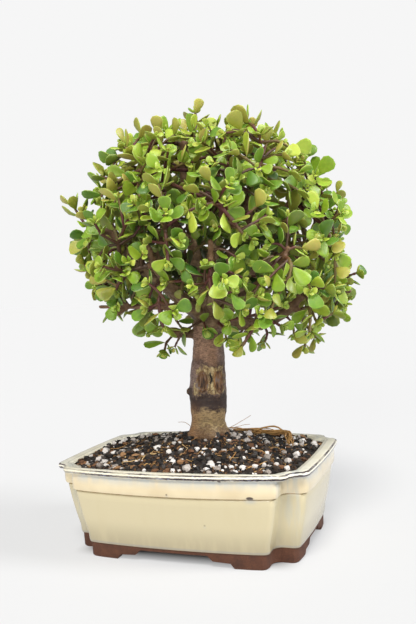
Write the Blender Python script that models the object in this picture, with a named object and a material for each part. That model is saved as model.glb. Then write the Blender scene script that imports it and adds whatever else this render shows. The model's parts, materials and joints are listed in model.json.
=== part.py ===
"""Elephant bush bonsai standing in a cream glazed pot, at its real size.

Sizes are in millimetres and become metres where a mesh is made. +Z is up, the pot's long front faces -Y,
and the origin is on the surface that the pot stands on, under the middle of the whole plant's box.
"""

import math
import random
from collections import namedtuple

import bmesh
import bpy
from mathutils import Matrix, Quaternion, Vector
from mathutils.bvhtree import BVHTree

MM = 0.001
GAP = 0.3

# Pot: the outline of each level, and how far the corners of the lip, the mouth, the hollow and the soil
# are stepped in, where 1 is a cut corner and 0 is a round one
POT_LENGTH = 204.0
POT_DEPTH = 148.0
POT_HEIGHT = 68.0
CORNER_X, CORNER_Y = 19.0, 17.0
FRONT_BOW, SIDE_BOW = 8.0, 1.5
ROUND_OUT, ROUND_IN = 4.5, 6.5
FRONT_STATIONS = (0.0, 0.4, 0.75)
LIP_NOTCH, MOUTH_NOTCH, THROAT_NOTCH, SOIL_NOTCH = 0.42, 0.25, 0.5, 0.65

# Pot: heights and how far each level lies inside the lip's outline
FOOT_HEIGHT = 11.2
BAND_FOOT, BAND_TOP = 50.5, 63.0
LIP_THICK = 4.2
FOOT_IN, BELLY_IN, BAND_IN, LIP_IN = 12.6, 4.4, 2.0, 0.6
RIM_WIDTH = 10.6
WALL_THICK = 6.6
FLOOR_TOP = 13.5
RECESS_TOP = 9.0
RECESS_INSET = 13.0

# Pot: the stepped arches between its feet, as half width and height, and the drain holes
FRONT_ARCH = ((47.0, -1.0), (43.5, 3.8), (30.5, 4.6), (26.5, 8.4))
SIDE_ARCH = ((28.0, -1.0), (25.0, 3.8), (16.0, 4.6), (13.0, 8.4))
DRAIN_X, DRAIN_RADIUS = 40.0, 8.0
SCREEN_SIDE, SCREEN_THICK, SCREEN_BAR = 25.0, 1.0, 2.2
SCREEN_CELLS = 3
CUT_PAST = 1.0

# Soil: a low mound round the trunk, with gritty relief
SOIL_EDGE, SOIL_MOUND, MOUND_REACH = 65.0, 16.5, 46.0
SOIL_WALL_GAP, TRUNK_HOLE_GAP = 0.8, 0.7
GRIT_CELLS_X, GRIT_CELLS_Y, GRIT_RISE, GRIT_JOG = 15, 11, 2.4, 1.6
TRUNK_HOLE_TOP = 22.0

# Tree: where it stands, how it is turned and how it leans, in degrees
TREE_FOOT = Vector((6.6, 3.0, 81.5))
TREE_TURN, TREE_LEAN = 21.4, 3.7
TRUNK_SIDES = 16
TRUNK = (
    (-34.0, 9.0),
    (-22.0, 12.5),
    (-8.0, 15.6),
    (0.0, 16.6),
    (6.0, 14.4),
    (13.0, 13.6),
    (22.0, 14.6),
    (32.0, 15.0),
    (40.0, 14.4),
    (47.0, 14.2),
    (54.0, 13.6),
    (62.0, 12.8),
    (74.0, 12.0),
    (88.0, 12.4),
    (98.0, 12.6),
    (108.0, 10.0),
)

# Tree: main limbs in the tree's own frame, X to its right, Y away from its front and Z up its trunk.
# Each has the radius at its root and at its end, and the points that it runs through.
LIMBS = {
    "left": (
        7.0, 3.4, ((-3, 0, 92), (-20, -6, 106), (-33, -10, 118), (-52, -14, 131), (-67, -16, 149), (-78, -17, 162))
    ),
    "upright": (
        6.2, 3.6, ((-5, 2, 96), (-9, 4, 128), (-12, 5, 150), (-16, 4, 185), (-20, 2, 211), (-19, 1, 232))
    ),
    "low_left": (3.8, 1.9, ((-6, -5, 94), (-20, -9, 100), (-52, -15, 101), (-84, -20, 101))),
    "low_right": (
        6.0, 3.6, ((4, -3, 88), (24, -8, 88), (42, -10, 88), (56, -11, 94), (66, -11, 102), (74, -11, 112))
    ),
    "right_tip": (3.2, 2.2, ((72, -11, 109), (88, -10, 118), (102, -9, 127))),
    "right": (6.6, 2.8, ((4, 2, 96), (26, 8, 118), (42, 9, 133), (58, 9, 142), (76, 8, 147), (98, 6, 150))),
    "upper_right": (6.0, 3.2, ((3, 4, 98), (18, 8, 136), (29, 8, 170), (35, 6, 198), (36, 5, 218))),
    "shoulder": (3.2, 2.2, ((24, 8, 156), (46, 2, 168), (60, -3, 178), (70, -6, 196))),
    "crown": (6.0, 3.0, ((0, 4, 98), (3, 10, 138), (8, 8, 172), (6, 2, 204), (8, -2, 228))),
    "front_left": (5.2, 2.6, ((-3, -3, 92), (-22, -34, 110), (-36, -58, 128), (-44, -74, 148))),
    "front": (5.2, 2.6, ((1, -4, 94), (4, -38, 110), (3, -64, 126), (1, -80, 148))),
    "front_right": (5.2, 2.6, ((4, -3, 92), (28, -33, 110), (44, -56, 126), (56, -70, 144))),
    "back": (5.2, 2.6, ((0, 4, 92), (4, 40, 114), (5, 66, 132), (3, 82, 152))),
    "back_left": (5.2, 2.6, ((-3, 3, 94), (-34, 36, 114), (-54, 56, 132), (-66, 68, 150))),
    "back_right": (5.2, 2.6, ((3, 3, 94), (34, 34, 114), (56, 54, 130), (70, 66, 146))),
    "high_front_left": (3.6, 2.4, ((-11, 4, 146), (-30, -22, 172), (-42, -38, 198))),
    "high_front": (3.6, 2.4, ((7, 7, 162), (12, -22, 186), (14, -40, 208))),
    "high_back": (3.6, 2.4, ((7, 8, 160), (-4, 34, 186), (-10, 48, 208))),
    "high_back_right": (3.6, 2.4, ((27, 8, 162), (42, 34, 186), (50, 44, 206))),
    "high_back_left": (3.6, 2.4, ((-12, 5, 148), (-40, 24, 174), (-58, 30, 196))),
}
LIMB_SIDES = 5

# Tree: each limb ends in a last stretch that turns outwards, left and right by turns: its way is made
# of these shares of outwards, onwards and sideways, and it stops short of the dome
LAST_OUT, LAST_ON, LAST_SIDE = 0.62, 0.5, 0.6
LAST_LENGTH, LAST_LEAST, LAST_STEP, LAST_EDGE, LAST_TAPER = 27.0, 9.0, 3.0, 0.84, 0.75

# Tree: pruned stubs, as the radius, the root and the cut end
STUBS = {
    "stub_low": (3.3, (-6, -2, 79), (-29, -6, 80)),
    "stub_left_end": (2.6, (-75, -17, 160), (-92, -18, 157)),
    "stub_left_front": (3.0, (-36, -11, 120), (-37, -30, 160)),
    "stub_centre": (3.0, (12, 4, 122), (3, -34, 118)),
    "stub_right_front": (3.0, (28, 8, 160), (36, -22, 179)),
    "stub_right_low": (2.4, (64, -11, 101), (74, -16, 96)),
    "stub_right_end": (2.0, (88, -10, 118), (112, -8, 113)),
    "stub_knob": (2.3, (-10, -2, 33), (-17, -4, 34)),
    "stub_low_left": (1.9, (-62, -17, 101), (-71, -20, 95)),
}
STUB_TAPER = 1.1

# Crown: the dome that the outer sprays reach, round its middle, and how a spray finds its limb
CROWN_MIDDLE = Vector((3.0, 0.0, 146.0))
REACH_SIDE, REACH_DEPTH, REACH_UP, REACH_DOWN = 98.0, 90.0, 90.0, 84.0
OUTER_SITES, INNER_SITES, MOST_SPRAYS = 46, 9, 45
LOWEST_SINE, TOP_FIRST, LOW_RIGHT = 0.84, 205.0, 0.5
INNER_SHARE = 0.66
SPRAY_REACH, SPRAY_LEAST = 34.0, 22.0
SPRAY_SEED = 3700
ROUTE_TRIES = 60
START_APART, CROWDED_EFFORT, INWARD_EFFORT, SHORT_EFFORT = 9.0, 30.0, 60.0, 90.0
STUB_PROUD, SPRAY_GAP = 2.6, 0.75
CLEARANCE, CLEAR_OF_ROOT = 0.45, 2.5
LEAST_OUTWARD = 0.6

# Sprays: a square twig with leaves in crosswise pairs, and side shoots at its lowest pair
SQUARE = 4
TWIG_RADIUS, TWIG_TIP_RADIUS, TWIG_STRAIGHT = 1.7, 1.1, 3.0
TWIG_ALONG, TWIG_UP, TWIG_STRAY = 0.45, 0.25, 0.25
SHOOT_RADIUS, SHOOT_TIP_RADIUS = 1.2, 0.9
SHOOT_OUT, SHOOT_ON, SHOOT_UP, SHOOT_LIFT = 0.8, 0.6, 0.15, 2.0
PAIRS, PAIR_SPACING, PAIR_HALF = 4, 7.0, 1.1
SHOOT_PAIRS, SHOOT_LEAST, SHOOT_MOST = 2, 17.0, 23.0
LEAF_LENGTH, LEAF_LENGTH_SPREAD = 14.0, 4.0
LEAF_WIDTH_SHARE, LEAF_THICK = 0.78, 2.4
LEAF_RISE, LEAF_RISE_SPREAD, LEAF_TWIST = 34.0, 12.0, 0.3
LEAF_SECTIONS = ((0.60, 1.0, 1.0, 0.0), (1.0, 0.5, 0.0, 0.07))
LEAF_TEST_START = (0.16, 0.35, 0.8, 0.0)

# Collars: the sides, the girth at the root and at the end as shares of the twig's, and how far from the
# limb's middle one starts, as a share of the limb's radius; the second is the room one is tested for
COLLAR_SIDES, COLLAR_ROOT, COLLAR_END, COLLAR_START = 3, 1.5, 1.3, -0.4
TEST_COLLAR_SIDES, TEST_COLLAR_GIRTH, TEST_COLLAR_LIFT = 6, 1.75, 0.6

Leaf = namedtuple("Leaf", "root aim flat size")
Shoot = namedtuple("Shoot", "frames radii growths")

FINISHES = {
    "cream_glaze": ((0.72, 0.64, 0.45), 0.18),
    "potting_grit": ((0.10, 0.07, 0.05), 0.95),
    "bark": ((0.26, 0.17, 0.12), 0.80),
    "leaf_green": ((0.17, 0.34, 0.05), 0.35),
    "screen_plastic": ((0.05, 0.05, 0.05), 0.60),
}


def clear_scene():
    """Empties the scene, so that only the objects made below are in it."""
    for thing in list(bpy.data.objects):
        bpy.data.objects.remove(thing, do_unlink=True)


def finish(name):
    """A plain Principled material with the finish of that name."""
    colour, roughness = FINISHES[name]
    made = bpy.data.materials.get(name)
    if made is None:
        made = bpy.data.materials.new(name)
        made.use_nodes = True
        shader = made.node_tree.nodes["Principled BSDF"]
        shader.inputs["Base Color"].default_value = (*colour, 1.0)
        shader.inputs["Roughness"].default_value = roughness
        shader.inputs["Metallic"].default_value = 0.0
    return made


def object_from(name, shape, finish_name, place=None):
    """Makes an object of a millimetre bmesh, with its place in its mesh."""
    if place is not None:
        bmesh.ops.transform(shape, matrix=place, verts=shape.verts)
    bmesh.ops.scale(shape, vec=(MM, MM, MM), verts=shape.verts)
    mesh = bpy.data.meshes.new(name)
    shape.to_mesh(mesh)
    shape.free()
    made = bpy.data.objects.new(name, mesh)
    bpy.context.scene.collection.objects.link(made)
    mesh.materials.append(finish(finish_name))
    return made


def combine(target, others, operation, solver="EXACT"):
    """One Boolean of a target with a collection of shapes, applied, and the collection's objects removed."""
    group = bpy.data.collections.new("cutters")
    bpy.context.scene.collection.children.link(group)
    for other in others:
        bpy.context.scene.collection.objects.unlink(other)
        group.objects.link(other)
        other.hide_render = True
        other.display_type = "WIRE"
    step = target.modifiers.new("combine", "BOOLEAN")
    step.operation = operation
    step.operand_type = "COLLECTION"
    step.collection = group
    step.solver = solver
    graph = bpy.context.evaluated_depsgraph_get()
    graph.update()
    joined = bpy.data.meshes.new_from_object(target.evaluated_get(graph))
    target.modifiers.clear()
    target.data = joined
    joined.name = target.name
    for other in others:
        bpy.data.objects.remove(other, do_unlink=True)
    bpy.data.collections.remove(group)
    return target


def arc(centre, radius, start, end, steps):
    """Points on an arc, from one angle to another, in degrees."""
    angles = [math.radians(start + (end - start) * i / steps) for i in range(steps + 1)]
    return [Vector((centre[0] + radius * math.cos(a), centre[1] + radius * math.sin(a))) for a in angles]


def level(half_length, half_depth, notch, height, bow=FRONT_BOW, steps=2):
    """One level of the pot's wall, anticlockwise from the middle of its front.

    A corner is round where notch is 0, and stepped in, as a cut corner is, where notch is 1.
    """
    front_end = half_length - CORNER_X
    front_y, side_y = half_depth - bow, half_depth - bow - CORNER_Y
    side_x = half_length - SIDE_BOW
    quarter = [Vector((front_end * s, -half_depth + bow * s * s)) for s in FRONT_STATIONS]
    stepped = arc((front_end - ROUND_OUT, ROUND_OUT - front_y), ROUND_OUT, -90, 0, steps)
    stepped += arc((front_end + ROUND_IN, -side_y - ROUND_IN), ROUND_IN, 180, 90, steps)
    stepped += arc((side_x - ROUND_OUT, ROUND_OUT - side_y), ROUND_OUT, -90, 0, steps)
    turns = [math.radians(-90 + 90 * i / (len(stepped) - 1)) for i in range(len(stepped))]
    for turn, point in zip(turns, stepped):
        x = front_end + (side_x - front_end) * math.cos(turn)
        quarter.append(Vector((x, CORNER_Y * math.sin(turn) - side_y)).lerp(point, notch))
    right = quarter + [Vector((half_length, 0.0))] + [Vector((p.x, -p.y)) for p in reversed(quarter)]
    left = [Vector((-p.x, p.y)) for p in reversed(right[1:-1])]
    return [Vector((p.x, p.y, height)) for p in right + left]


def inset_level(inset, height, notch=1.0):
    """A level that lies a given distance inside the lip's outline, bowed less the further it lies in."""
    bow = FRONT_BOW - 0.36 * inset
    return level(POT_LENGTH / 2 - inset, POT_DEPTH / 2 - 0.78 * inset, notch, height, bow)


def loft(levels):
    """A closed solid through levels of equal point count, from its underside to its last level."""
    shape = bmesh.new()
    rings = [[shape.verts.new(point) for point in points] for points in levels]
    loops = []
    for ring in rings:
        loops.append([shape.edges.new((a, b)) for a, b in zip(ring, ring[1:] + ring[:1])])
    for low, high in zip(loops, loops[1:]):
        bmesh.ops.bridge_loops(shape, edges=low + high)
    for loop in (loops[0], loops[-1]):
        bmesh.ops.contextual_create(shape, geom=loop)
    bmesh.ops.recalc_face_normals(shape, faces=shape.faces)
    return shape


def inside_levels(wall_gap, floor_gap, notch):
    """The pot's hollow from its floor up to the mouth, or what fills it, clear of the wall and the floor."""
    return [
        inset_level(FOOT_IN + WALL_THICK + 4.0 + wall_gap, FLOOR_TOP + floor_gap),
        inset_level(FOOT_IN + WALL_THICK - 1.5 + wall_gap, FLOOR_TOP + 3.5 + floor_gap),
        inset_level(BAND_IN + WALL_THICK + 1.6 + wall_gap, BAND_TOP - 4.0, 0.95),
        inset_level(RIM_WIDTH + 0.4 + wall_gap, POT_HEIGHT - 2.0, notch),
    ]


def prism(outline, low, high, axis):
    """An outline pushed along an axis, from low to high; the outline lies in the plane of the other two."""
    shape = bmesh.new()
    turn = {"X": lambda p, d: Vector((d, p[0], p[1])), "Y": lambda p, d: Vector((p[0], d, p[1]))}[axis]
    face = shape.faces.new([shape.verts.new(turn(point, low)) for point in outline])
    pushed = bmesh.ops.extrude_face_region(shape, geom=[face])
    moved = [v for v in pushed["geom"] if isinstance(v, bmesh.types.BMVert)]
    bmesh.ops.translate(shape, vec=turn((0.0, 0.0), high - low), verts=moved)
    bmesh.ops.recalc_face_normals(shape, faces=shape.faces)
    return shape


def arch(steps):
    """The outline of a stepped arch, from its half widths and heights."""
    return [(-half, height) for half, height in steps] + [(half, height) for half, height in reversed(steps)]


def make_pot():
    """The pot: clay feet, belly, band and a flat-topped lip, hollow, with two drain holes."""
    outer = [
        inset_level(FOOT_IN + 0.6, 0.0),
        inset_level(FOOT_IN, FOOT_HEIGHT),
        inset_level(BELLY_IN, BAND_FOOT),
        inset_level(BAND_IN + 0.6, BAND_FOOT + 0.9),
        inset_level(BAND_IN, BAND_TOP),
        inset_level(LIP_IN, POT_HEIGHT - LIP_THICK, LIP_NOTCH),
        inset_level(0.0, POT_HEIGHT - 1.4, LIP_NOTCH),
        inset_level(1.2, POT_HEIGHT, LIP_NOTCH),
    ]
    mouth = inset_level(RIM_WIDTH, POT_HEIGHT, MOUTH_NOTCH)
    hollow = inside_levels(0.0, 0.0, THROAT_NOTCH)[::-1]
    pot = object_from("pot", loft(outer + [mouth] + hollow), "cream_glaze")
    recess = [inset_level(FOOT_IN + RECESS_INSET, z) for z in (-CUT_PAST, RECESS_TOP)]
    cutters = [object_from("recess", loft(recess), "cream_glaze")]
    reach_y, reach_x = POT_DEPTH / 2, POT_LENGTH / 2
    inner_y, inner_x = reach_y - 40.0, reach_x - 40.0
    for side in (-1, 1):
        arches = (("Y", FRONT_ARCH, inner_y, reach_y), ("X", SIDE_ARCH, inner_x, reach_x))
        for axis, steps, inner, reach in arches:
            low, high = sorted((side * inner, side * reach))
            cutters.append(object_from("arch", prism(arch(steps), low, high, axis), "cream_glaze"))
        hole = bmesh.new()
        bmesh.ops.create_cone(
            hole, cap_ends=True, segments=12, radius1=DRAIN_RADIUS, radius2=DRAIN_RADIUS, depth=10.0,
            matrix=Matrix.Translation((side * DRAIN_X, 0.0, FLOOR_TOP - 2.0)),
        )
        cutters.append(object_from("drain", hole, "cream_glaze"))
    return combine(pot, cutters, "DIFFERENCE")


def block(low, high):
    """A box between two corners."""
    shape = bmesh.new()
    bmesh.ops.create_cube(shape, size=1.0)
    middle, sides = (Vector(low) + Vector(high)) / 2, Vector(high) - Vector(low)
    bmesh.ops.scale(shape, vec=sides, verts=shape.verts)
    bmesh.ops.translate(shape, vec=middle, verts=shape.verts)
    return shape


def make_screen(name, x):
    """A square plastic mesh that keeps the soil from falling through a drain hole."""
    half, low = SCREEN_SIDE / 2, FLOOR_TOP + GAP
    plate = block((x - half, -half, low), (x + half, half, low + SCREEN_THICK))
    screen = object_from(name, plate, "screen_plastic")
    cell = (SCREEN_SIDE - SCREEN_BAR) / SCREEN_CELLS
    cutters = []
    for column in range(SCREEN_CELLS):
        for row in range(SCREEN_CELLS):
            left, front = x - half + SCREEN_BAR + column * cell, -half + SCREEN_BAR + row * cell
            right, back = left + cell - SCREEN_BAR, front + cell - SCREEN_BAR
            hole = block((left, front, low - CUT_PAST), (right, back, low + SCREEN_THICK + CUT_PAST))
            cutters.append(object_from("cell", hole, "screen_plastic"))
    return combine(screen, cutters, "DIFFERENCE")


def tree_place():
    """The tree's own frame in the pot's."""
    turn = Matrix.Rotation(math.radians(TREE_TURN), 4, "Z")
    lean = Matrix.Rotation(math.radians(TREE_LEAN), 4, "Y")
    return Matrix.Translation(TREE_FOOT) @ turn @ lean


def carried(points, turn=0.0):
    """Frames along a line that don't twist: the point, two directions across the line and the line's own."""
    ways = [(b - a).normalized() for a, b in zip(points, points[1:])]
    aims = [ways[0]] + [(a + b).normalized() for a, b in zip(ways, ways[1:])] + [ways[-1]]
    across = Quaternion(aims[0], turn) @ aims[0].orthogonal().normalized()
    frames = []
    for before, point, aim in zip([aims[0]] + aims, points, aims):
        across = before.rotation_difference(aim) @ across
        frames.append((point, across, aim.cross(across), aim))
    return frames


def ring(frame, radius, sides):
    """The corners of a section across a line, anticlockwise as seen from ahead."""
    point, x, y, _ = frame
    turns = [2 * math.pi * i / sides for i in range(sides)]
    return [point + radius * (math.cos(turn) * x + math.sin(turn) * y) for turn in turns]


def tapered(root, tip, count):
    """Radii that taper evenly from a root to a tip."""
    return [root + (tip - root) * i / (count - 1) for i in range(count)]


def tube(points, root_radius, tip_radius, sides):
    """The sections of a tapered tube through its points."""
    points = [Vector(point) for point in points]
    radii = tapered(root_radius, tip_radius, len(points))
    return [ring(frame, radius, sides) for frame, radius in zip(carried(points), radii)]


def push(shape, face, corners):
    """Pushes a face out to new corners, given in turn round it, and returns the face at the end."""
    pushed = bmesh.ops.extrude_face_region(shape, geom=[face])["geom"]
    end = next(part for part in pushed if isinstance(part, bmesh.types.BMFace))
    verts = [loop.vert for loop in end.loops]
    turns = [corners[i:] + corners[:i] for i in range(len(corners))]
    nearest = min(turns, key=lambda turned: sum((v.co - c).length for v, c in zip(verts, turned)))
    for vert, corner in zip(verts, nearest):
        vert.co = corner
    return end


def swept(sections):
    """A closed solid whose first face is pushed on through the sections."""
    shape = bmesh.new()
    face = shape.faces.new([shape.verts.new(corner) for corner in sections[0]])
    for number, corners in enumerate(sections[1:]):
        end = push(shape, face, corners)
        if number:
            bmesh.ops.delete(shape, geom=[face], context="FACES_ONLY")
        face = end
    bmesh.ops.recalc_face_normals(shape, faces=shape.faces)
    return shape


def smooth_path(points, steps):
    """Points on a smooth curve through the given ones, with a number of steps between each two."""
    points = [Vector(p) for p in points]
    ends = [2 * points[0] - points[1]] + points + [2 * points[-1] - points[-2]]
    path = []
    for before, start, end, after in zip(ends, ends[1:], ends[2:], ends[3:]):
        for i in range(steps):
            t = i / steps
            straight = start * (2 - 5 * t * t + 3 * t**3) + end * (t + 4 * t * t - 3 * t**3)
            path.append((straight + before * (2 * t * t - t - t**3) + after * (t**3 - t * t)) / 2)
    return path + [points[-1]]


def trunk_bulge(angle, height):
    """Surface roots that swell the trunk's foot, and the two calloused ovals of an old scar on its front."""
    roots = 0.10 * math.cos(5 * angle + 0.6) * max(0.0, 1 - abs(height - 1.0) / 9.0)
    bulge = roots + 0.015 * math.sin(3 * angle + height * 0.11)
    for side in (-1, 1):
        across = (math.degrees(angle) + 90.0 - side * 24.0 + 180.0) % 360.0 - 180.0
        far = math.hypot(across / 22.0, (height - 43.0) / 10.5)
        bulge += 0.07 * math.exp(-(((far - 0.95) / 0.28) ** 2)) - 0.05 * math.exp(-((far / 0.6) ** 2))
    return bulge


def trunk_shape(extra=0.0, high=math.inf):
    """The trunk alone, or its foot up to a height, made a given distance fatter and longer."""
    heights = [(z, r) for z, r in TRUNK if z <= high]
    heights[0] = (heights[0][0] - extra, heights[0][1])
    shape = bmesh.new()
    rings = []
    for z, radius in heights:
        made = bmesh.ops.create_circle(shape, segments=TRUNK_SIDES, radius=1.0)["verts"]
        for vert in made:
            angle = math.atan2(vert.co.y, vert.co.x)
            reach = radius * (1 + trunk_bulge(angle, z)) + extra
            vert.co = Vector((reach * math.cos(angle), reach * math.sin(angle), z))
        rings.append(list({edge for vert in made for edge in vert.link_edges}))
    for below, above in zip(rings, rings[1:]):
        bmesh.ops.bridge_loops(shape, edges=below + above)
    for ring in (rings[0], rings[-1]):
        bmesh.ops.contextual_create(shape, geom=ring)
    bmesh.ops.recalc_face_normals(shape, faces=shape.faces)
    bmesh.ops.triangulate(shape, faces=shape.faces, quad_method="FIXED")
    return shape


def soil_top(x, y):
    """Height of the soil: a mound round the trunk on a nearly level bed."""
    far = math.hypot(x - TREE_FOOT.x, (y - TREE_FOOT.y) * 1.15)
    return SOIL_EDGE + SOIL_MOUND * math.exp(-((far / MOUND_REACH) ** 2))


def make_soil():
    """The soil, filling the pot to its wall, with grit on its surface and a plain hole for the trunk."""
    dice = random.Random(7)
    bed = bmesh.new()
    bmesh.ops.create_grid(bed, x_segments=GRIT_CELLS_X, y_segments=GRIT_CELLS_Y, size=0.5)
    bmesh.ops.scale(bed, vec=(POT_LENGTH + 6.0, POT_DEPTH + 6.0, 1.0), verts=bed.verts)
    for vert in bed.verts:
        jog = Vector((dice.uniform(-1, 1), dice.uniform(-1, 1), 0.0)) * GRIT_JOG
        rise = dice.uniform(-0.5, 0.5) * GRIT_RISE
        vert.co += jog
        vert.co.z = soil_top(vert.co.x, vert.co.y) + rise
    bmesh.ops.triangulate(bed, faces=bed.faces)
    pushed = bmesh.ops.extrude_face_region(bed, geom=list(bed.faces), use_keep_orig=True)["geom"]
    for part in pushed:
        if isinstance(part, bmesh.types.BMVert):
            part.co.z = 0.0
    flat = [f for f in bed.faces if all(abs(v.co.z) < 1e-6 for v in f.verts)]
    bmesh.ops.dissolve_faces(bed, faces=flat)
    bmesh.ops.recalc_face_normals(bed, faces=bed.faces)
    soil = object_from("soil", bed, "potting_grit")
    filling = inside_levels(SOIL_WALL_GAP, GAP, SOIL_NOTCH)
    filling.append(inset_level(RIM_WIDTH + 0.4 + SOIL_WALL_GAP, POT_HEIGHT + 30.0, SOIL_NOTCH))
    combine(soil, [object_from("filling", loft(filling), "potting_grit")], "INTERSECT")
    hole = trunk_shape(TRUNK_HOLE_GAP, TRUNK_HOLE_TOP)
    cutters = [object_from("trunk_hole", hole, "potting_grit", tree_place())]
    half = SCREEN_SIDE / 2 + GAP
    for side in (-1, 1):
        low = (side * DRAIN_X - half, -half, FLOOR_TOP - CUT_PAST)
        high = (side * DRAIN_X + half, half, FLOOR_TOP + SCREEN_THICK + 2 * GAP)
        cutters.append(object_from("screen_pocket", block(low, high), "potting_grit"))
    return combine(soil, cutters, "DIFFERENCE")


def crown_sites():
    """Where a spray could end, the top first: spread over the dome, and over a smaller one inside it."""
    golden = math.pi * (3 - math.sqrt(5))
    sites = []
    for count, share in ((OUTER_SITES, 1.0), (INNER_SITES, INNER_SHARE)):
        for i in range(count):
            rise = 1 - (i + 0.5) / count * (1 + LOWEST_SINE)
            flat = math.sqrt(1 - rise * rise)
            way = Vector((flat * math.cos(i * golden), flat * math.sin(i * golden), rise))
            upright = REACH_UP if rise > 0 else REACH_DOWN
            stretch = Vector((way.x / REACH_SIDE, way.y / REACH_DEPTH, way.z / upright))
            bulge = 1 + LOW_RIGHT * max(0.0, way.x) * max(0.0, -way.z)
            sites.append(CROWN_MIDDLE + way * (share * bulge / stretch.length))
    random.Random(SPRAY_SEED).shuffle(sites)
    return sorted(sites, key=lambda site: site.z < TOP_FIRST)


def crown_share(point):
    """How far out a point lies in the crown, as a share of the dome's reach that way."""
    off = point - CROWN_MIDDLE
    upright = REACH_UP if off.z > 0 else REACH_DOWN
    return Vector((off.x / REACH_SIDE, off.y / REACH_DEPTH, off.z / upright)).length


def limbs():
    """Every limb with its last stretch: the radius at the root and at the end, and its points."""
    made = []
    for number, (root_radius, end_radius, route) in enumerate(LIMBS.values()):
        end = Vector(route[-1])
        on = (end - Vector(route[-2])).normalized()
        out = (end - CROWN_MIDDLE).normalized()
        side = on.cross(out).normalized() * (-1) ** number
        way = (LAST_OUT * out + LAST_ON * on + LAST_SIDE * side).normalized()
        reach = LAST_LENGTH
        while crown_share(end + way * reach) > LAST_EDGE and reach >= LAST_LEAST:
            reach -= LAST_STEP
        last = [end + way * reach] if reach >= LAST_LEAST else []
        made.append((root_radius, end_radius * LAST_TAPER, list(route) + last))
    return made


def limb_points():
    """Places along the limbs where a spray can start: the point, the limb's run there and its radius."""
    places = []
    for root_radius, end_radius, route in limbs():
        path = smooth_path(route, 6)
        for i in range(len(path) // 3, len(path) - 1):
            run = (path[i + 1] - path[i - 1]).normalized()
            share = i / (len(path) - 1)
            places.append((path[i], run, root_radius + (end_radius - root_radius) * share))
    return places


def bent(start, way, end, shares):
    """Points at shares of a line that leaves along its way and bends over to its end."""
    knee = start + way * (end - start).length * 0.5
    return [start.lerp(knee, t).lerp(knee.lerp(end, t), t) for t in shares]


def paired_line(start, way, end, pairs, turn, root_radius, tip_radius, straight=0.0):
    """A shoot's frames and radii, with two close stations at each pair of leaves, and each pair's segment."""
    points = [start] if straight else []
    start = start + way * straight
    length = (end - start).length
    shares, segments = [0.0], []
    for number in range(pairs):
        middle = 1.0 - (PAIR_HALF + (pairs - 1 - number) * PAIR_SPACING) / length
        segments.append(len(points) + len(shares))
        shares += [middle - PAIR_HALF / length, middle + PAIR_HALF / length]
    frames = carried(points + bent(start, way, end, shares), turn)
    return frames, tapered(root_radius, tip_radius, len(frames)), segments


def sides_of(shoot_frames, radii, segment, crosswise):
    """The middles of two opposite faces of a square shoot's segment, and the ways that they face."""
    before, after = shoot_frames[segment], shoot_frames[segment + 1]
    middle = (before[0] + after[0]) / 2
    turn = math.radians(135 if crosswise else 45)
    way = math.cos(turn) * before[1] + math.sin(turn) * before[2]
    reach = radii[segment] * math.cos(math.pi / 4)
    return [(middle + way * reach, way), (middle - way * reach, -way)]


def grow_leaf(root, way, run, dice, length):
    """A leaf that leaves its shoot sideways and rises a little towards the shoot's tip."""
    rise = math.radians(LEAF_RISE + dice.uniform(-1, 1) * LEAF_RISE_SPREAD)
    droop = Vector((dice.uniform(-0.2, 0.2), dice.uniform(-0.2, 0.2), dice.uniform(-0.05, 0.15)))
    aim = (way * math.cos(rise) + run * math.sin(rise) + droop).normalized()
    flat = Quaternion(aim, dice.uniform(-1, 1) * LEAF_TWIST) @ run.cross(way)
    flat = (flat - flat.dot(aim) * aim).normalized()
    return Leaf(root, aim, flat, length + dice.uniform(-0.5, 0.5) * LEAF_LENGTH_SPREAD)


def leaf_rings(leaf, sections, extra=0.0):
    """The corners of a leaf's sections, each given as shares of its length, width, thickness and lift."""
    up = leaf.aim.cross(leaf.flat)
    rings = []
    for along, wide, deep, lift in sections:
        middle = leaf.root + leaf.aim * along * leaf.size + up * lift * leaf.size
        side = leaf.flat * (wide * leaf.size * LEAF_WIDTH_SHARE / 2 + extra)
        rise = up * (deep * LEAF_THICK / 2 + extra)
        rings.append([middle + side - rise, middle + side + rise, middle - side + rise, middle - side - rise])
    return rings


def grow_side_shoot(root, way, run, dice):
    """A side shoot with its pairs of leaves, which takes the place of a leaf."""
    aim = (SHOOT_OUT * way + SHOOT_ON * run + Vector((0, 0, SHOOT_UP))).normalized()
    end = root + aim * dice.uniform(SHOOT_LEAST, SHOOT_MOST) + Vector((0, 0, SHOOT_LIFT))
    turn = dice.uniform(0, math.pi)
    frames, radii, segments = paired_line(
        root, (way + 0.3 * run).normalized(), end, SHOOT_PAIRS, turn, SHOOT_RADIUS, SHOOT_TIP_RADIUS
    )
    growths = []
    for number, segment in enumerate(segments):
        for spot, side in sides_of(frames, radii, segment, number % 2):
            length = LEAF_LENGTH - 1.0 - 1.5 * number
            growths.append((segment, side, grow_leaf(spot, side, frames[segment][3], dice, length)))
    return Shoot(frames, radii, growths)


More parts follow.
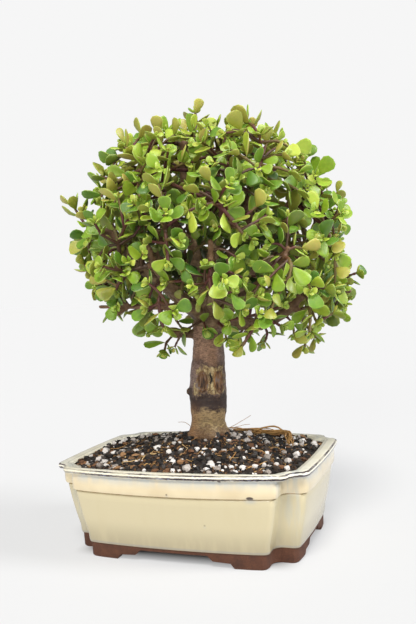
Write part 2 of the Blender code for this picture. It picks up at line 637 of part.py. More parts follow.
def grow_spray(seed, site, place):
    """One spray from a place on a limb to its site: its foot and its twig, before anything is left out."""
    dice = random.Random(seed)
    point, run, radius = place
    out = (site - point).normalized()
    stray = Vector([dice.uniform(-1, 1) for _ in range(3)])
    way = (out + TWIG_ALONG * run + Vector((0, 0, TWIG_UP)) + TWIG_STRAY * stray).normalized()
    foot = point + way * (radius + STUB_PROUD)
    turn = dice.uniform(0, math.pi)
    start = foot + way * SPRAY_GAP
    room = (site - start).length - TWIG_STRAIGHT
    pairs = max(1, min(PAIRS, int(room / PAIR_SPACING)))
    frames, radii, segments = paired_line(
        start, way, site, pairs, turn, TWIG_RADIUS, TWIG_TIP_RADIUS, TWIG_STRAIGHT
    )
    growths = []
    for number, segment in enumerate(segments):
        line = frames[segment][3]
        for spot, side in sides_of(frames, radii, segment, number % 2):
            if number == 0 and pairs > 2:
                growth = grow_side_shoot(spot, side, line, dice)
            else:
                growth = grow_leaf(spot, side, line, dice, LEAF_LENGTH - 0.8 * (number - 1))
            growths.append((segment, side, growth))
    return foot, Shoot(frames, radii, growths)


def skin(sections):
    """The points and faces of a solid through sections of equal count."""
    count = len(sections[0])
    points = [corner for section in sections for corner in section]
    faces = [list(range(count)), list(range(len(points) - count, len(points)))]
    for first in range(0, len(points) - count, count):
        for i in range(count):
            j = (i + 1) % count
            faces.append([first + i, first + j, first + count + j, first + count + i])
    return points, faces


class Space:
    """What already stands in the crown, so that no later shoot or leaf grows into it."""

    def __init__(self):
        self.points, self.faces, self.tree = [], [], None

    def add(self, sections):
        points, faces = skin(sections)
        first = len(self.points)
        self.points += points
        self.faces += [[first + i for i in face] for face in faces]

    def settle(self):
        self.tree = BVHTree.FromPolygons(self.points, self.faces)

    def holds(self, sections):
        return self.tree is not None and bool(self.tree.overlap(BVHTree.FromPolygons(*skin(sections))))


def shoot_sections(shoot, extra=0.0, skip=0.0):
    """The sections of a shoot, made thicker, from a distance past its root."""
    frames = list(shoot.frames)
    if skip:
        point, across, up, line = frames[0]
        share = min(0.5, skip / (frames[1][0] - point).length)
        frames[0] = (point.lerp(frames[1][0], share), across, up, line)
    return [ring(frame, radius + extra, SQUARE) for frame, radius in zip(frames, shoot.radii)]


def with_room(shoot, taken, own):
    """The shoot without the leaves and side shoots that have no room."""
    kept = []
    for segment, side, growth in shoot.growths:
        if isinstance(growth, Leaf):
            sections = leaf_rings(growth, (LEAF_TEST_START,) + LEAF_SECTIONS, CLEARANCE)
        else:
            sections = shoot_sections(growth, CLEARANCE, CLEAR_OF_ROOT)
        if taken.holds(sections) or own.holds(sections):
            continue
        own.add(sections)
        own.settle()
        if isinstance(growth, Shoot):
            growth = with_room(growth, taken, own)
        kept.append((segment, side, growth))
    return Shoot(shoot.frames, shoot.radii, kept)


def all_sections(shoot):
    """The sections of a shoot and of everything that grows from it."""
    found = [shoot_sections(shoot)]
    for _, _, growth in shoot.growths:
        if isinstance(growth, Leaf):
            found.append(leaf_rings(growth, (LEAF_TEST_START,) + LEAF_SECTIONS))
        else:
            found += all_sections(growth)
    return found


def collar_sections(place, foot):
    """The collar on a limb that a spray grows from, up to its flat end."""
    point, _, radius = place
    start = point + (foot - point).normalized() * radius * COLLAR_START
    return tube([start, foot], TWIG_RADIUS * COLLAR_ROOT, TWIG_RADIUS * COLLAR_END, COLLAR_SIDES)


def collar_room(place, foot):
    """The room that a collar needs past the limb's own bark."""
    point, _, radius = place
    start = point + (foot - point).normalized() * (radius + TEST_COLLAR_LIFT)
    girth = TWIG_RADIUS * TEST_COLLAR_GIRTH
    return tube([start, foot], girth, girth, TEST_COLLAR_SIDES)


def wood_sections():
    """The sections of the limbs and of the pruned stubs."""
    wood = [tube(smooth_path(route, 1), root, end, LIMB_SIDES) for root, end, route in limbs()]
    for radius, root, end in STUBS.values():
        wood.append(tube([root, end], radius * STUB_TAPER, radius, LIMB_SIDES))
    return wood


def route_effort(point, site, starts):
    """How poor a place is for a spray to that site: too near or far, turned inwards, or crowded by others."""
    gap = site - point
    crowding = sum(CROWDED_EFFORT for start in starts if (start - point).length < START_APART)
    outward = gap.normalized().dot((site - CROWN_MIDDLE).normalized())
    short = SHORT_EFFORT if gap.length < SPRAY_LEAST else 0.0
    inward = INWARD_EFFORT * max(0.0, LEAST_OUTWARD - outward)
    return abs(gap.length - SPRAY_REACH) + inward + crowding + short


def grow_crown():
    """Grows every spray where it has room: its place on a limb, its foot and its twig."""
    taken = Space()
    trunk_line = [Vector((0, 0, z)) for z, _ in TRUNK]
    for sections in wood_sections() + [tube(trunk_line, TRUNK[0][1], TRUNK[-1][1], TRUNK_SIDES)]:
        taken.add(sections)
    taken.settle()
    places, starts, sprays = limb_points(), [], []
    for number, site in enumerate(crown_sites()):
        nearest = sorted(places, key=lambda place: route_effort(place[0], site, starts))
        for attempt, place in enumerate(nearest[:ROUTE_TRIES]):
            foot, twig = grow_spray(SPRAY_SEED + number * ROUTE_TRIES + attempt, site, place)
            room = collar_room(place, foot)
            if not taken.holds(shoot_sections(twig, CLEARANCE)) and not taken.holds(room):
                break
        else:
            continue
        twig = with_room(twig, taken, Space())
        for sections in all_sections(twig) + [collar_sections(place, foot)]:
            taken.add(sections)
        taken.settle()
        starts.append(place[0])
        sprays.append((place, foot, twig))
        if len(sprays) == MOST_SPRAYS:
            break
    return clear_of_collars(sprays)


def clear_of_collars(sprays):
    """The sprays without the leaves and side shoots that a later spray's collar has grown into."""
    cleared = []
    for place, foot, twig in sprays:
        collars = Space()
        for other_place, other_foot, _ in sprays:
            if other_foot is not foot:
                collars.add(collar_sections(other_place, other_foot))
        collars.settle()
        cleared.append((place, foot, with_room(twig, collars, Space())))
    return cleared


def make_trunk(sprays):
    """The trunk with its limbs, pruned stubs and the collars that the sprays grow from, in one solid."""
    place = tree_place()
    trunk = object_from("trunk", trunk_shape(), "bark", place)
    wood = wood_sections() + [collar_sections(spot, foot) for spot, foot, _ in sprays]
    return combine(trunk, [object_from("wood", swept(sections), "bark", place) for sections in wood], "UNION")


def build_leaf(shape, face, leaf):
    """Pushes a leaf out of a face, and pinches it to an edge at its tip."""
    for corners in leaf_rings(leaf, LEAF_SECTIONS):
        end = push(shape, face, corners)
        bmesh.ops.delete(shape, geom=[face], context="FACES_ONLY")
        face = end
    bmesh.ops.remove_doubles(shape, verts=face.verts, dist=0.01)


def build_shoot(shape, face, shoot):
    """Pushes a shoot out of a face, then its leaves and side shoots out of its own faces."""
    budding = []
    for segment, (frame, radius) in enumerate(zip(shoot.frames[1:], shoot.radii[1:])):
        end = push(shape, face, ring(frame, radius, SQUARE))
        if len(shape.faces) > SQUARE + 2:
            bmesh.ops.delete(shape, geom=[face], context="FACES_ONLY")
        face = end
        walls = [wall for edge in face.edges for wall in edge.link_faces if wall is not face]
        for own_segment, way, growth in shoot.growths:
            if own_segment == segment:
                facing = max(walls, key=lambda wall: (wall.calc_center_median() - frame[0]).dot(way))
                budding.append((facing, growth))
    for wall, growth in budding:
        if isinstance(growth, Leaf):
            build_leaf(shape, wall, growth)
        else:
            build_shoot(shape, wall, growth)


def make_spray(name, twig):
    """A leafy spray, all pushed out of one square."""
    shape = bmesh.new()
    corners = ring(twig.frames[0], twig.radii[0], SQUARE)
    foot = shape.faces.new([shape.verts.new(corner) for corner in corners])
    build_shoot(shape, foot, twig)
    bmesh.ops.recalc_face_normals(shape, faces=shape.faces)
    return object_from(name, shape, "leaf_green", tree_place())


def centre_on_origin(things):
    """Moves every mesh so that the origin is under the middle of the whole box."""
    corners = [vert.co for thing in things for vert in thing.data.vertices]
    middle = [(min(c[i] for c in corners) + max(c[i] for c in corners)) / 2 for i in (0, 1)]
    for thing in things:
        thing.data.transform(Matrix.Translation((-middle[0], -middle[1], 0.0)))
        thing.data.update()


def main():
    clear_scene()
    sprays = grow_crown()
    things = [make_pot()]
    for name, x in (("drain_screen_left", -DRAIN_X), ("drain_screen_right", DRAIN_X)):
        things.append(make_screen(name, x))
    things += [make_soil(), make_trunk(sprays)]
    for number, (_, _, twig) in enumerate(sprays, 1):
        things.append(make_spray(f"spray_{number:02d}", twig))
    centre_on_origin(things)


main()
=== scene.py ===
"""The looks of the elephant bush bonsai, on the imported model's frame.

Sizes are in millimetres. The pot's own frame has its origin under the pot's middle, and the tree's frame
stands in it at the trunk's foot. A piece becomes metres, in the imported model's frame, when it is finished.
"""

import json
import math
import random
from collections import namedtuple

import bmesh
import bpy
from mathutils import Matrix, Quaternion, Vector, noise
from mathutils.bvhtree import BVHTree
from mathutils.kdtree import KDTree

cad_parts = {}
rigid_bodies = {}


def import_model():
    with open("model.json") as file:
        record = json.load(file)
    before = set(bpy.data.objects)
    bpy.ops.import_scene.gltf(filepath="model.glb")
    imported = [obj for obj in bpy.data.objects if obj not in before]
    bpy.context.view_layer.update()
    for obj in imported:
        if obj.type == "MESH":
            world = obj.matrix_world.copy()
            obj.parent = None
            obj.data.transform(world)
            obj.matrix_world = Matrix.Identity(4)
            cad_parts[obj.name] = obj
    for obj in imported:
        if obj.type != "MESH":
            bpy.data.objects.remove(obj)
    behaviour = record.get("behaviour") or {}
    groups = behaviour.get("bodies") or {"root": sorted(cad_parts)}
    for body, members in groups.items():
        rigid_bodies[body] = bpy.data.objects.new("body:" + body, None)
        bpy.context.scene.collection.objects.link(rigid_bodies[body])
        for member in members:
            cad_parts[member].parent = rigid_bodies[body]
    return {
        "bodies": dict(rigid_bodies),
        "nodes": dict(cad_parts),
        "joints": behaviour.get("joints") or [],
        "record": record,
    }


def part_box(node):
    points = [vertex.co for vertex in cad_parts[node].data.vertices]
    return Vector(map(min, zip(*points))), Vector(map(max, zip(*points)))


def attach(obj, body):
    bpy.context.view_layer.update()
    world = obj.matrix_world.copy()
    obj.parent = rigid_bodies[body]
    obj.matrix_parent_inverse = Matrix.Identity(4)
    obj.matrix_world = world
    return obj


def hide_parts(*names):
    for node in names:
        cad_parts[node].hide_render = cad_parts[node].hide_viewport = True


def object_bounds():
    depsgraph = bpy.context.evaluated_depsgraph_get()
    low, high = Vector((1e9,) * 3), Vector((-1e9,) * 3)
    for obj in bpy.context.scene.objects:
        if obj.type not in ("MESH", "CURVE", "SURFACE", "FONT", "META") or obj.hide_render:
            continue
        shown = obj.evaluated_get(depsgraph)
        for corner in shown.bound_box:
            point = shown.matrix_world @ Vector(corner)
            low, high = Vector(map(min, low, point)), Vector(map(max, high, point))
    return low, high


MM = 0.001

# Pot: the outline of each level, and how far the corners of the lip, the mouth, the hollow and the soil
# are stepped in, where 1 is a cut corner and 0 is a round one
POT_LENGTH = 204.0
POT_DEPTH = 148.0
POT_HEIGHT = 68.0
CORNER_X, CORNER_Y = 19.0, 17.0
FRONT_BOW, SIDE_BOW = 8.0, 1.5
ROUND_OUT, ROUND_IN = 4.5, 6.5
FRONT_STATIONS = (0.0, 0.14, 0.29, 0.43, 0.57, 0.71, 0.86)
SIDE_STATIONS = (0.75, 0.5, 0.25)
CORNER_STEPS = 5
LIP_NOTCH, MOUTH_NOTCH, THROAT_NOTCH, SOIL_NOTCH = 0.42, 0.25, 0.5, 0.65

# Pot: heights and how far each level lies inside the lip's outline
FOOT_HEIGHT = 11.2
BAND_FOOT, BAND_TOP = 50.5, 63.0
FOOT_IN, BELLY_IN, BAND_IN = 12.6, 4.4, 2.0
RIM_WIDTH = 10.6
WALL_THICK = 6.6
FLOOR_TOP = 13.5
RECESS_TOP = 9.0
RECESS_INSET = 13.0

# Pot: the stepped arches between its feet, as half width and height, and the drain holes with the screens
FRONT_ARCH = ((47.0, -1.0), (43.5, 3.8), (30.5, 4.6), (26.5, 8.4))
SIDE_ARCH = ((28.0, -1.0), (25.0, 3.8), (16.0, 4.6), (13.0, 8.4))
ARCH_DEEP, CUT_PAST = 40.0, 1.0
DRAIN_X, DRAIN_RADIUS, DRAIN_SEGMENTS, DRAIN_LENGTH = 40.0, 8.0, 32, 10.0
SCREEN_SIDE = 25.0

# Soil: a low mound round the trunk, how much higher its grainy top lies, and the top's cells, least height
# and relief as heights and sizes
SOIL_EDGE, SOIL_MOUND, MOUND_REACH, SOIL_MORE = 65.0, 16.5, 46.0, 0.7
SOIL_CELLS, SOIL_LEAST = (90, 66), 59.0
SOIL_RELIEF = ((1.5, 7.0), (0.9, 2.6))

# Soil: its gaps to the pot's wall and floor, and the top of the pockets that the screens lie in
SOIL_WALL_GAP, FLOOR_GAP, POCKET_TOP = 0.8, 0.3, 15.1

# Tree: where it stands, how it is turned and how it leans, in degrees
TREE_FOOT = Vector((6.6, 3.0, 81.5))
TREE_TURN, TREE_LEAN = 21.4, 3.7
TRUNK_SIDES = 16
TRUNK = (
    (-34.0, 9.0),
    (-22.0, 12.5),
    (-8.0, 15.6),
    (0.0, 16.6),
    (6.0, 14.4),
    (13.0, 13.6),
    (22.0, 14.6),
    (32.0, 15.0),
    (40.0, 14.4),
    (47.0, 14.2),
    (54.0, 13.6),
    (62.0, 12.8),
    (74.0, 12.0),
    (88.0, 12.4),
    (98.0, 12.6),
    (108.0, 10.0),
)

# Tree: main limbs in the tree's own frame, X to its right, Y away from its front and Z up its trunk.
# Each has the radius at its root and at its end, and the points that it runs through.
LIMBS = {
    "left": (
        7.0, 3.4,
        ((-3, 0, 92), (-20, -6, 106), (-33, -10, 118), (-52, -14, 131), (-67, -16, 149), (-78, -17, 162)),
    ),
    "upright": (
        6.2, 3.6, ((-5, 2, 96), (-9, 4, 128), (-12, 5, 150), (-16, 4, 185), (-20, 2, 211), (-19, 1, 232))
    ),
    "low_left": (3.8, 1.9, ((-6, -5, 94), (-20, -9, 100), (-52, -15, 101), (-84, -20, 101))),
    "low_right": (
        6.0, 3.6, ((4, -3, 88), (24, -8, 88), (42, -10, 88), (56, -11, 94), (66, -11, 102), (74, -11, 112))
    ),
    "right_tip": (3.2, 2.2, ((72, -11, 109), (88, -10, 118), (102, -9, 127))),
    "right": (6.6, 2.8, ((4, 2, 96), (26, 8, 118), (42, 9, 133), (58, 9, 142), (76, 8, 147), (98, 6, 150))),
    "upper_right": (6.0, 3.2, ((3, 4, 98), (18, 8, 136), (29, 8, 170), (35, 6, 198), (36, 5, 218))),
    "shoulder": (3.2, 2.2, ((24, 8, 156), (46, 2, 168), (60, -3, 178), (70, -6, 196))),
    "crown": (6.0, 3.0, ((0, 4, 98), (3, 10, 138), (8, 8, 172), (6, 2, 204), (8, -2, 228))),
    "front_left": (5.2, 2.6, ((-3, -3, 92), (-22, -34, 110), (-36, -58, 128), (-44, -74, 148))),
    "front": (5.2, 2.6, ((1, -4, 94), (4, -38, 110), (3, -64, 126), (1, -80, 148))),
    "front_right": (5.2, 2.6, ((4, -3, 92), (28, -33, 110), (44, -56, 126), (56, -70, 144))),
    "back": (5.2, 2.6, ((0, 4, 92), (4, 40, 114), (5, 66, 132), (3, 82, 152))),
    "back_left": (5.2, 2.6, ((-3, 3, 94), (-34, 36, 114), (-54, 56, 132), (-66, 68, 150))),
    "back_right": (5.2, 2.6, ((3, 3, 94), (34, 34, 114), (56, 54, 130), (70, 66, 146))),
    "high_front_left": (3.6, 2.4, ((-11, 4, 146), (-30, -22, 172), (-42, -38, 198))),
    "high_front": (3.6, 2.4, ((7, 7, 162), (12, -22, 186), (14, -40, 208))),
    "high_back": (3.6, 2.4, ((7, 8, 160), (-4, 34, 186), (-10, 48, 208))),
    "high_back_right": (3.6, 2.4, ((27, 8, 162), (42, 34, 186), (50, 44, 206))),
    "high_back_left": (3.6, 2.4, ((-12, 5, 148), (-40, 24, 174), (-58, 30, 196))),
}
LIMB_SIDES = 5

# Tree: each limb ends in a last stretch that turns outwards, left and right by turns: its way is made
# of these shares of outwards, onwards and sideways, and it stops short of the dome
LAST_OUT, LAST_ON, LAST_SIDE = 0.62, 0.5, 0.6
LAST_LENGTH, LAST_LEAST, LAST_STEP, LAST_EDGE, LAST_TAPER = 27.0, 9.0, 3.0, 0.84, 0.75

# Tree: pruned stubs, as the radius, the root and the cut end
STUBS = {
    "stub_low": (3.3, (-6, -2, 79), (-29, -6, 80)),
    "stub_left_end": (2.6, (-75, -17, 160), (-92, -18, 157)),
    "stub_left_front": (3.0, (-36, -11, 120), (-37, -30, 160)),
    "stub_centre": (3.0, (12, 4, 122), (3, -34, 118)),
    "stub_right_front": (3.0, (28, 8, 160), (36, -22, 179)),
    "stub_right_low": (2.4, (64, -11, 101), (74, -16, 96)),
    "stub_right_end": (2.0, (88, -10, 118), (112, -8, 113)),
    "stub_knob": (2.3, (-10, -2, 33), (-17, -4, 34)),
    "stub_low_left": (1.9, (-62, -17, 101), (-71, -20, 95)),
}
STUB_TAPER = 1.1

# Crown: the dome that the outer sprays reach, round its middle, and how a spray finds its limb
CROWN_MIDDLE = Vector((3.0, 0.0, 146.0))
REACH_SIDE, REACH_DEPTH, REACH_UP, REACH_DOWN = 98.0, 90.0, 90.0, 84.0
OUTER_SITES, INNER_SITES, MOST_SPRAYS = 46, 9, 45
LOWEST_SINE, TOP_FIRST, LOW_RIGHT = 0.84, 205.0, 0.5
INNER_SHARE = 0.66
SPRAY_REACH, SPRAY_LEAST = 34.0, 22.0
SPRAY_SEED = 3700
ROUTE_TRIES = 60
START_APART, CROWDED_EFFORT, INWARD_EFFORT, SHORT_EFFORT = 9.0, 30.0, 60.0, 90.0
STUB_PROUD, SPRAY_GAP = 2.6, 0.75
CLEARANCE, CLEAR_OF_ROOT = 0.45, 2.5
LEAST_OUTWARD = 0.6

# Sprays: a square twig with leaves in crosswise pairs, and side shoots at its lowest pair
SQUARE = 4
TWIG_RADIUS, TWIG_TIP_RADIUS, TWIG_STRAIGHT = 1.7, 1.1, 3.0
TWIG_ALONG, TWIG_UP, TWIG_STRAY = 0.45, 0.25, 0.25
SHOOT_RADIUS, SHOOT_TIP_RADIUS = 1.2, 0.9
SHOOT_OUT, SHOOT_ON, SHOOT_UP, SHOOT_LIFT = 0.8, 0.6, 0.15, 2.0
PAIRS, PAIR_SPACING, PAIR_HALF = 4, 7.0, 1.1
SHOOT_PAIRS, SHOOT_LEAST, SHOOT_MOST = 2, 17.0, 23.0
LEAF_LENGTH, LEAF_LENGTH_SPREAD = 14.0, 4.0
LEAF_WIDTH_SHARE, LEAF_THICK = 0.78, 2.4
LEAF_RISE, LEAF_RISE_SPREAD, LEAF_TWIST = 34.0, 12.0, 0.3
LEAF_SECTIONS = ((0.60, 1.0, 1.0, 0.0), (1.0, 0.5, 0.0, 0.07))
LEAF_TEST_START = (0.16, 0.35, 0.8, 0.0)

# Collars: the sides, the girth at the root and at the end as shares of the twig's, and how far from the
# limb's middle one starts, as a share of the limb's radius; the second is the room one is tested for
COLLAR_SIDES, COLLAR_ROOT, COLLAR_END, COLLAR_START = 3, 1.5, 1.3, -0.4
TEST_COLLAR_SIDES, TEST_COLLAR_GIRTH, TEST_COLLAR_LIFT = 6, 1.75, 0.6

# Camera: its place in the pot's frame, its turns in degrees and its lens
CAMERA_AT = Vector((215.4, -513.4, 193.5))
CAMERA_YAW, CAMERA_PITCH, CAMERA_ROLL = 21.4, -1.6, -3.66
LENS, SENSOR = 40.385, 36.0

# Floor and light: strengths, and where each light comes from, as turn and height in degrees
BACKGROUND, SKY_STRENGTH = 0.922, 0.26
FLOOR_SIZE, FLOOR_WHITE = 60000.0, 0.28
SUNS = {
    "top_light": (2.8, 20.0, -80.0, 58.0, (1.0, 0.98, 0.95)),
    "side_light": (2.6, 18.0, 6.0, 34.0, (0.97, 0.98, 1.0)),
    "front_light": (1.5, 28.0, -88.0, 12.0, (1.0, 0.97, 0.92)),
}

# Fine pot: its middle in the model's frame, how the belly swells, the heights where the glaze breaks, and
# the pits in it, each as its place, half width, half height and strength
POT_MIDDLE = (-14.68, -8.25)
BELLY_STEPS, BELLY_BULGE, THROAT_RUN = 7, 0.7, 3.0
LOW_EDGE_AT, TOP_EDGE_AT, INNER_EDGE_AT = 64.4, 67.5, 67.7
PITS = (
    (62.3, -68.1, 52.1, 2.6, 1.25, 0.95),
    (42.2, -70.5, 63.9, 1.3, 0.9, 0.85),
    (27.8, -66.8, 31.3, 0.8, 0.7, 0.35),
    (2.3, -72.4, 53.3, 0.8, 0.7, 0.6),
)

# Fine wood: mesh size, the sides and steps of its tubes, and the rings that are raised on the limbs
WOOD_GRAIN, FINE_SIDES, TRUNK_FINE_SIDES = 1.0, 12, 48
LIMB_STEPS, STUB_STEPS, TRUNK_STEPS = 6, 3, 4
RING_SPACE, RING_RISE = 9.0, 0.34

# Fine wood: height and size of the relief on all bark, and of the wrinkles and swells on the trunk
BARK_RELIEF = ((0.30, 7.0), (0.16, 3.0))
WRINKLE_RISE, WRINKLE_WIDE, WRINKLE_TALL = 0.22, 9.0, 1.9
SWELL_RISE, SWELL_SIZE = 0.45, 14.0

# Fine wood: the scar's height, its two ovals as turn and half width in degrees, its ragged outline, raised
# rim and hollow, and the cleft in it
SCAR_HIGH, SCAR_HALF_HIGH = 42.6, 10.5
SCAR_OVALS = ((-19.0, 23.0), (33.0, 20.0))
SCAR_RAGGED, SCAR_RIM, SCAR_HOLLOW = 0.16, 0.75, 0.9
CLEFT_WANDER, CLEFT_HALF_WIDE = 3.0, 3.0
CLEFT_TURN, CLEFT_HIGH, CLEFT_HALF_HIGH, CLEFT_DEEP = 8.0, 45.5, 6.5, 2.2

# Fine wood: below this height bark so near the trunk is its own and not a limb's, with this radius for it;
# a stub's cut end is sunk inside this share of its radius
TRUNK_OWN_TOP, TRUNK_OWN_NEAR, TRUNK_MEAN = 86.0, 1.6, 13.0
CUT_SUNK_SHARE, CUT_SUNK = 0.62, 0.5

# Fine leaves: cuts round and along the leaves of the sprays, of the young shoots and of the tips, how far a
# leaf faces outwards and up, how thick, curled, cupped and creased it is, and the small pairs at a tip
LEAF_CUTS, FILL_CUTS, BUD_CUTS = (12, 8), (10, 6), (8, 5)
# The mark "deep" carries painted shade: leaves deep inside the crown are painted darker.
LEAF_MARKS = ("upper", "rim", "tip", "tint", "young", "deep")
FACE_OUT, FACE_UP = 0.8, 0.45
FINE_THICK, BUD_THICK = 1.7, 1.4
CURL, CUP, CREASE, CREASE_HALF = (-0.02, 0.15), (-0.20, 0.24), 0.05, 0.22
LEAF_LEAN, LEAF_WAVE, WIDTH_SPREAD = 0.12, 0.05, (0.92, 1.14)
LEAF_FOOT_WIDE, LEAF_WIDEST, LEAF_PLUMP = 0.20, 0.86, 0.22
ROSETTE = ((0.60, 34.0), (0.42, 58.0))
ROSETTE_SIZE = 11.0
TWIG_SIDES = 8

# Young shoots that fill the crown between the sprays: how many, how far from their root one may end, and
# the shares of the dome's reach where most of them end and where every fifth does
FILL_SEED, FILL_SITES, FILL_TRIES = 5, 400, 12
FILL_LEAST, FILL_MOST, FILL_APART = 9.0, 34.0, 7.5
FILL_SHARES = ((0.88, 1.04), (0.5, 0.88))
FILL_LOWEST, FILL_TOP_MORE = 0.5, 0.10
FILL_NEAR, FILL_STARTS, FILL_OUTWARD = 60, 4, 0.1
FILL_RADIUS, FILL_TIP_RADIUS, FILL_SPACING, FILL_PAIRS = 1.15, 0.8, 5.4, 3
FILL_LEAF, FILL_LEAF_SPREAD = 13.0, 6.0
FILL_GROUPS = 6

# Young shoots: how far inside the model's box their tips and leaves stay, in metres
TIP_INSIDE, LEAF_INSIDE = 0.009, 0.004

# Young shoots: the trunk that they stay clear of, where they may start on it and on the stubs, the windows
# that their leaves leave open as X, Z and radius, and the places that are tried first
FILL_TRUNK = (((0, 0, 0), (0, 0, 98)), 15.0, 13.0)
TRUNK_BUDS = ((-5, -11, 90), (2, -13, 88), (8, -11, 88), (10, -9, 92))
STUB_BUDS = (0.45, 0.65, 0.85)
WINDOWS = (
    (-29, 112, 15), (-8, 140, 12), (60, 98, 13), (-42, 136, 9), (-22, 200, 9), (22, 160, 9), (10, 94, 10),
)
WINDOW_BACK = 12.0
STRAY_SITES = (
    (-106, -8, 181), (-99, -6, 190), (-112, -10, 172), (119, -8, 112), (106, -4, 121), (112, -12, 104),
    (-2, -24, 84), (7, -25, 80), (14, -24, 76), (-34, -14, 66), (-26, -14, 70), (44, -14, 74),
    (36, -12, 77), (66, -16, 80), (-20, -16, 84), (-36, -16, 86), (24, -20, 78),
)

# Grains on the soil, in the order in which they are laid: how many, the least and greatest radius, the
# bevel, the least and most flatness and how far one stands out, and then the angle that is smoothed
SOIL_SEED, TRUNK_ROOM = 11, 15.5
STREWN = (
    ("crumbs", (1400, 0.6, 1.6, 0.0, (0.5, 1.0), 0.4), 20.0),
    ("black_grit", (2200, 0.7, 2.3, 0.0, (0.6, 1.0), 0.55), 20.0),
    ("bark_chips", (250, 1.2, 3.8, 0.5, (0.25, 0.5), 0.8), 30.0),
    ("pumice", (340, 1.2, 3.7, 0.5, (0.65, 1.0), 0.5), 50.0),
)

# Grains on the soil: a power over 1 that makes most of them small, and how long, wide, tilted and uneven
# they are
GRAIN_POWER, GRAIN_LONG, GRAIN_WIDE = 1.7, (0.75, 1.2), (0.7, 1.1)
GRAIN_TILT, GRAIN_JITTER, GRAIN_FILL = 0.35, 0.26, 0.75

# Roots on the soil: how many hairs and strands, the loose hairs by the trunk and the ridge of the strands
HAIR_ROOTS, HAIR_LENGTH, HAIR_GIRTH = 170, (8.0, 26.0), (0.18, 0.5)
RIDGE_STRANDS, STRAND_STRAY, STRAND_GIRTH = 11, 1.5, (0.3, 0.95)
LOOSE_GIRTH, ROOT_TAPER = 0.27, 0.6
LOOSE_HAIRS = (
    ((-6, 10, 80), (-14, 16, 84), (-22, 22, 86), (-30, 27, 85)),
    ((12, 22, 79), (17, 34, 81), (22, 43, 83.5), (28, 49, 87)),
    ((14, 18, 79), (20, 26, 81), (26, 32, 82), (31, 36, 82)),
    ((0, -9, 79), (-4, -16, 77), (-14, -20, 74), (-24, -26, 70)),
)
ROOT_RIDGE = (
    (5, 22, 78), (14, 44, 74.5), (30, 50, 73.5), (46, 50, 73.5), (60, 44, 73), (66, 30, 71.5),
    (69, 18, 69.5),
)

# Colours: the trunk's bands by height, and a leaf's upper side and underside from dark to light
BARK_BANDS = (
    (0.0, (0.12, 0.060, 0.020)), (0.06, (0.17, 0.105, 0.038)), (0.08, (0.36, 0.26, 0.115)),
    (0.10, (0.22, 0.15, 0.058)), (0.18, (0.36, 0.25, 0.115)), (0.215, (0.030, 0.015, 0.011)),
    (0.31, (0.022, 0.012, 0.011)), (0.35, (0.19, 0.125, 0.105)), (0.50, (0.22, 0.14, 0.115)),
    (0.555, (0.055, 0.025, 0.018)), (0.62, (0.27, 0.145, 0.085)), (0.85, (0.33, 0.19, 0.115)),
)
LEAF_SHADES = (
    (0.0, (0.038, 0.112, 0.010)), (0.3, (0.115, 0.235, 0.014)),
    (0.6, (0.235, 0.365, 0.020)), (0.95, (0.41, 0.49, 0.050)),
)
UNDER_SHADES = (
    (0.0, (0.095, 0.16, 0.014)), (0.35, (0.22, 0.27, 0.030)),
    (0.65, (0.36, 0.35, 0.055)), (1.0, (0.48, 0.40, 0.090)),
)

# Finishes of the grains and the dry roots: roughness, colours, grain size and depth of the relief
LUMPS = {
    "pumice": (
        0.85, ((0.15, (0.24, 0.20, 0.17)), (0.42, (0.52, 0.48, 0.45)), (0.8, (0.74, 0.71, 0.68))), 1.5, 0.6
    ),
    "black_grit": (
        0.6, ((0.1, (0.004, 0.003, 0.003)), (0.6, (0.016, 0.012, 0.010)), (0.95, (0.07, 0.050, 0.038))),
        1.0, 0.25,
    ),
    "crumbs": (
        0.9, ((0.1, (0.012, 0.006, 0.003)), (0.5, (0.085, 0.040, 0.016)), (0.95, (0.24, 0.12, 0.045))),
        1.0, 0.3,
    ),
    "bark_chips": (
        0.8, ((0.1, (0.045, 0.018, 0.008)), (0.5, (0.17, 0.075, 0.030)), (0.95, (0.34, 0.19, 0.085))),
        1.6, 0.4,
    ),
    "dry_root": (
        0.7, ((0.1, (0.26, 0.12, 0.035)), (0.5, (0.50, 0.29, 0.10)), (0.9, (0.70, 0.50, 0.24))), 2.0, 0.2
    ),
}

# Edges sharper than these angles, in degrees, are shaded as edges
POT_SHARP, SOIL_SHARP, LEAF_SHARP, BARK_SHARP = 38.0, 60.0, 75.0, 180.0

Leaf = namedtuple("Leaf", "root aim flat size")
Shoot = namedtuple("Shoot", "frames radii growths")
Sample = namedtuple("Sample", "point radius run line")


def arc(centre, radius, start, end, steps):
    """Points on an arc, from one angle to another, in degrees."""
    angles = [math.radians(start + (end - start) * i / steps) for i in range(steps + 1)]
    return [Vector((centre[0] + radius * math.cos(a), centre[1] + radius * math.sin(a))) for a in angles]


